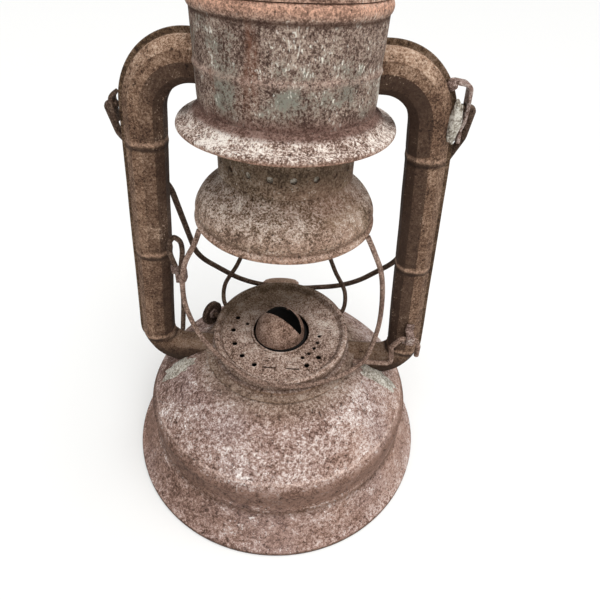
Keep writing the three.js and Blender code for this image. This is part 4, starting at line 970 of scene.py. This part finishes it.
cap_scales = [1.0, 1.0, 1.0, 0.97, 0.9] + [0.9 * math.cos(k * math.pi / 16) for k in range(1, 8)]
cap_levels = [CAP_FOOT, CAP_FOOT + 3, roof - CAP_ROOF, roof - 0.4, roof] \
    + [roof + CAP_CROWN * math.sin(k * math.pi / 16) for k in range(1, 8)]
cap_body = sweep([Vector((0, 0, z)) for z in cap_levels], fluted(), (1, 0, 0),
                 shape=lambda loop, i, _: [(u * cap_scales[i], v * cap_scales[i]) for u, v in loop])
dress("filler_cap", cap_body, FOUNT, [rod((0, 0, 0), (0, 0, ceiling), NECK_R + GAP, 64)], turn=filler_turn)


# Bail, ears, lever and guide

PIVOT_Z, EAR_X, EAR_WIDTH, EAR_SHEET = 197.0, 66.6, 5.6, 1.4
EAR_TOP, EAR_SEAT_ANGLE, EAR_FOLD, EAR_FOOT = 205.2, math.radians(34), 189.6, 184.6
LEFT_PIVOT_Z, LEFT_EAR_X, LEFT_EAR_SEAT_ANGLE = 191.0, 66.4, math.radians(12)
LEFT_EAR_TOP, LEFT_EAR_FOLD, LEFT_EAR_FOOT, LEFT_PIN_TAIL = 193.6, 188.2, 184.5, 1.0
EAR_BEND, PIN_TAIL, PIN_DRILL = 2.5, 2.2, 6.0
BAIL_D, BAIL_HANG, BAIL_LENGTH, BAIL_HALF, BAIL_SHIFT = 3.0, math.radians(20), 131.0, 58.0, 2.0
ear_seat = TUBE_OUTER + SEAM_WIDTH + GAP + EAR_SHEET / 2


def seam_x(z):
    return TUBE_TOP_X + (TUBE_TOP_Z - z) * tube_slope + ear_seat


def on_top_bend(angle):
    return (bend_x + (TUBE_TOP_BEND + ear_seat) * math.cos(angle),
            bend_z + (TUBE_TOP_BEND + ear_seat) * math.sin(angle))


# For each side the place of the pivot, how far the pin reaches in, and the corners of the strap
EARS = {
    1: (EAR_X, PIVOT_Z, PIN_TAIL, [
        on_top_bend(EAR_SEAT_ANGLE), (EAR_X - EAR_SHEET / 2, EAR_TOP), (EAR_X, PIVOT_Z),
        (EAR_X, EAR_FOLD + BAIL_D), (seam_x(EAR_FOLD) + GAP, EAR_FOLD), (seam_x(EAR_FOOT) + GAP, EAR_FOOT)]),
    -1: (LEFT_EAR_X, LEFT_PIVOT_Z, LEFT_PIN_TAIL, [
        on_top_bend(LEFT_EAR_SEAT_ANGLE), (LEFT_EAR_X, LEFT_EAR_TOP), (LEFT_EAR_X, LEFT_EAR_FOLD),
        (seam_x(LEFT_EAR_FOOT), LEFT_EAR_FOOT)]),
}
for sign, side in SIDES:
    x, z, _, corners = EARS[sign]
    ear_path = rounded([Vector((sign * u, 0, w)) for u, w in corners], EAR_BEND, 6)
    pin_hole = rod((sign * (x - PIN_DRILL), 0, z), (sign * (x + PIN_DRILL), 0, z), BAIL_D / 2 + GAP, 24)
    dress(side + "_ear", sweep(ear_path, strip(EAR_SHEET, EAR_WIDTH), (0, 0, 1)),
          STRAP if sign > 0 else DARK_WIRE, [pin_hole])

hinge = Vector((LEFT_EAR_X + EAR_X, 0, PIVOT_Z - LEFT_PIVOT_Z)).normalized()
hinge_middle = Vector((0, 0, LEFT_PIVOT_Z + LEFT_EAR_X * hinge.z / hinge.x))
bail_down = Vector((hinge.z * math.cos(BAIL_HANG), math.sin(BAIL_HANG), -hinge.x * math.cos(BAIL_HANG)))
bow = [(BAIL_HALF, 0.34 * BAIL_LENGTH), (BAIL_HALF - 1, 0.75 * BAIL_LENGTH),
       (0.55 * BAIL_HALF, BAIL_LENGTH - 5)]


def bail_point(along, reach):
    return hinge_middle + hinge * along + bail_down * reach


def bail_side(sign):
    x, _, tail, _ = EARS[sign]
    leg = x + EAR_SHEET / 2 + GAP + BAIL_D / 2 + 0.1
    ends = [(x - EAR_SHEET / 2 - tail, 0), (leg, 0), (leg, (PIVOT_Z - EAR_FOOT) / math.cos(BAIL_HANG))]
    return [bail_point(sign * u, reach) for u, reach in ends] \
        + [bail_point(BAIL_SHIFT + sign * u, reach) for u, reach in bow]


bail_path = bail_side(-1) + [bail_point(BAIL_SHIFT, BAIL_LENGTH)] + bail_side(1)[::-1]
dress("bail", wire(rounded(bail_path, [2, 6, 20, 24, 40, 60, 40, 24, 20, 6, 2], 10), BAIL_D), DARK_WIRE)

lever_path = rounded([Vector((x, LEVER_Y, z)) for x, z in (
    (39, LEVER_Z - LEVER_CRANK), (59.5, LEVER_Z - LEVER_CRANK), (57.5, LEVER_Z - LEVER_CRANK / 3),
    (61.5, LEVER_Z), (68.8, LEVER_Z), (71, LEVER_Z - 4.6), (71.4, LEVER_Z - 11.5))], 2.6, 8)
dress("lift_lever", wire(lever_path, LEVER_D), PALE_WIRE)

STAPLE_SHEET, STAPLE_WIDTH, STAPLE_X, STAPLE_HALF = 1.0, 4.0, 65.6, 6.5
pad = -TUBE_DEPTH - GAP - STAPLE_SHEET / 2 - 0.1
arch = LEVER_D / 2 + GAP + STAPLE_SHEET / 2 + 0.2
staple_path = rounded([Vector((STAPLE_X, y, z)) for y, z in (
    (pad, LEVER_Z + STAPLE_HALF), (pad, LEVER_Z + arch), (LEVER_Y - arch, LEVER_Z + arch),
    (LEVER_Y - arch, LEVER_Z - arch), (pad, LEVER_Z - arch), (pad, LEVER_Z - STAPLE_HALF))],
    [0.8, 1.6, 1.6, 0.8], 6)
dress("lever_staple", sweep(staple_path, strip(STAPLE_SHEET, STAPLE_WIDTH), (0, 1, 0)), STRAP)

GUIDE_D, GUIDE_X, GUIDE_Y = 2.4, -48.5, -6.0
CLIP_Z, CLIP_WIDTH = 115.0, 5.0
dress("guide_wire", wire(smooth([
    (GUIDE_X - 3, GUIDE_Y - 1, 80), (GUIDE_X - 0.6, GUIDE_Y, 100), (GUIDE_X + 0.4, GUIDE_Y, 118),
    (GUIDE_X + 2.4, GUIDE_Y, 130), (GUIDE_X + 1.8, GUIDE_Y, 134.5), (GUIDE_X - 0.6, GUIDE_Y - 0.4, 136.4),
    (GUIDE_X - 2.8, GUIDE_Y - 1.2, 133.4), (GUIDE_X - 2.6, GUIDE_Y - 2.2, 128.5),
    (GUIDE_X - 0.8, GUIDE_Y - 3.2, 122.5)], 110), GUIDE_D), DARK_WIRE)
clip_path = rounded([Vector((x, y, CLIP_Z)) for x, y in (
    (-54.2, -1.5), (GUIDE_X - 2, -2), (GUIDE_X + 2.2, GUIDE_Y + 2.6), (GUIDE_X + 2.2, GUIDE_Y - 2.4),
    (GUIDE_X - 1.8, GUIDE_Y - 2.4))], 1, 6)
dress("guide_clip", sweep(clip_path, strip(STAPLE_SHEET, CLIP_WIDTH), (0, 1, 0)), STRAP)


# Solder on the dome below the tubes and at the right ear, and dust behind the vents

def trim(name, data, material, body="frame"):
    obj = as_object(name, data)
    obj.data.polygons.foreach_set("use_smooth", [True] * len(obj.data.polygons))
    obj.data.materials.append(material)
    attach(obj, body)


def neighbours(rings, around):
    """Pairs of points side by side, numbered ring after ring."""
    return [(ring * around + k, ring * around + (k + 1) % around)
            for ring in range(rings) for k in range(around)]


def smear(x, y, long, wide, thick, seed):
    """A thin uneven patch that lies on the dome."""
    around, rings = 48, 8
    verts, faces = [], []
    for layer in (1, -1):
        for ring in range(rings + 1):
            for k in range(around):
                a = 2 * math.pi * k / around
                edge = 1 + 0.55 * noise.noise(Vector((2.4 * math.cos(a), 2.4 * math.sin(a), seed)))
                reach = ring / rings * edge
                px, py = x + long * reach * math.cos(a), y + wide * reach * math.sin(a)
                uneven = 1 + 0.6 * noise.noise(Vector((px, py, seed)) * 0.4)
                rise = thick * (1 - (ring / rings) ** 2) * uneven
                lift = rise - 0.25 if layer > 0 else -0.4
                verts.append(Vector((px, py, full_height(math.hypot(px, py)) + lift)))
    size = (rings + 1) * around
    for a, b in neighbours(rings, around):
        faces.append([a, a + around, b + around, b])
        faces.append([size + b, size + b + around, size + a + around, size + a])
    for k in range(around):
        a, b = rings * around + k, rings * around + (k + 1) % around
        faces.append([a, size + a, size + b, b])
    return verts, faces


def lump(centre, radii, seed):
    """An uneven ball."""
    around, rings = 24, 14
    verts = []
    for i in range(rings + 1):
        t = math.pi * i / rings
        for k in range(around):
            a = 2 * math.pi * k / around
            p = Vector((math.sin(t) * math.cos(a), math.sin(t) * math.sin(a), math.cos(t)))
            p *= 1 + 0.25 * noise.noise(p * 1.6 + Vector((seed, 0, 0)))
            verts.append(Vector([c + r * q for c, r, q in zip(centre, radii, p)]))
    return verts, [[a, a + around, b + around, b] for a, b in neighbours(rings, around)]


FOOT_SOLDER = (("left", -56, -12.5, 3.1), ("right", 54.5, -10.5, 5.4))
for side, x, y, seed in FOOT_SOLDER:
    trim(side + "_foot_solder", smear(x, y, long=11, wide=5.5, thick=1.2, seed=seed), SOLDER)
DUST_WIDTH, DUST_SHEET, DUST_STEP, DUST_STEPS = 4, 0.2, 2.5, 18
dust_r = collar_r - SHEET - 0.15
dust_path = []
for k in range(-DUST_STEPS, DUST_STEPS + 1):
    a = math.radians(-90 + DUST_STEP * k)
    dust_path.append(Vector((math.cos(a), math.sin(a), 0)) * dust_r + Vector((0, 0, COLLAR_VENT_Z)))
trim("vent_dust", sweep(dust_path, strip(DUST_SHEET, DUST_WIDTH, 0.05), (0, -1, 0)), DUST,
     "globe_basket")
EAR_SOLDER = (62.2, -4.7, 193)
trim("right_ear_solder", lump(EAR_SOLDER, radii=(2.3, 2.4, 8), seed=1.7), SOLDER)
ear_top_x, ear_top_z = on_top_bend(EAR_SEAT_ANGLE)
ear_top_solder = (ear_top_x - 1.2, -1.3, ear_top_z - 0.9)
trim("right_ear_top_solder", lump(ear_top_solder, radii=(2.0, 2.4, 2.0), seed=4.2), STRAP)


# Nodes whose own shape stays

KEPT = {
    "fount_base": FOUNT, "burner_body": SOOT, "wick_tube": SOOT, "wick": COTTON,
    "wick_sprocket_a": DARK_WIRE, "wick_sprocket_b": DARK_WIRE, "filler_gasket": RUBBER,
}
for node, material in KEPT.items():
    for material_slot in frame["nodes"][node].material_slots:
        material_slot.material = material


# Floor, light and camera

FLOOR_HALF, FLOOR_DROP = 20.0, 0.0004
floor_mesh = bpy.data.meshes.new("floor")
floor_corners = [(FLOOR_HALF * x, FLOOR_HALF * y, 0) for x, y in ((-1, -1), (1, -1), (1, 1), (-1, 1))]
floor_mesh.from_pydata(floor_corners, [], [(0, 1, 2, 3)])
floor = linked("floor", floor_mesh)
floor.location.z = -FLOOR_DROP
pale = bpy.data.materials.new("pale floor")
pale.use_nodes = True
pale_inputs = pale.node_tree.nodes["Principled BSDF"].inputs
pale_inputs["Base Color"].default_value = (0.86, 0.86, 0.85, 1)
pale_inputs["Roughness"].default_value = 0.9
floor_mesh.materials.append(pale)


def add_light(data, place, target):
    """Puts a light at a place and points it at a target."""
    light = linked(data.name, data)
    light.location = place
    light.rotation_euler = (Vector(target) - Vector(place)).to_track_quat("-Z", "Y").to_euler()


sky = bpy.data.lights.new("sky", "SUN")
sky.energy = 3.3
sky.angle = math.radians(75)
add_light(sky, (0.16, -0.2, 1), (0, 0, 0))
front = bpy.data.lights.new("front", "AREA")
front.shape = "DISK"
front.size = 1.2
front.energy = 5
front.color = (1.0, 0.98, 0.95)
add_light(front, (0.6, -1.3, 0.9), (0, 0, 0.1))
world = bpy.data.worlds.new("studio")
world.use_nodes = True
background = world.node_tree.nodes["Background"].inputs
background["Color"].default_value = (1, 1, 1, 1)
background["Strength"].default_value = 0.16
bpy.context.scene.world = world

CAMERA_PLACE = Vector((9.12, -176.67, 246.85))
PITCH, ROLL = math.radians(39.9), math.radians(3.457)
forward = Vector((0, math.cos(PITCH), -math.sin(PITCH)))
level_up = Vector((0, math.sin(PITCH), math.cos(PITCH)))
right = Vector((1, 0, 0)) * math.cos(ROLL) + level_up * math.sin(ROLL)
up = level_up * math.cos(ROLL) - Vector((1, 0, 0)) * math.sin(ROLL)
camera_data = bpy.data.cameras.new("camera")
camera_data.sensor_fit = "HORIZONTAL"
camera_data.sensor_width = 36
camera_data.lens = 27
camera_data.clip_start = 0.01
camera = linked("camera", camera_data)
camera.matrix_world = Matrix.Translation(CAMERA_PLACE * MM) @ \
    Matrix((right, up, -forward)).transposed().to_4x4()
bpy.context.scene.camera = camera
bpy.context.scene.view_settings.view_transform = "Standard"
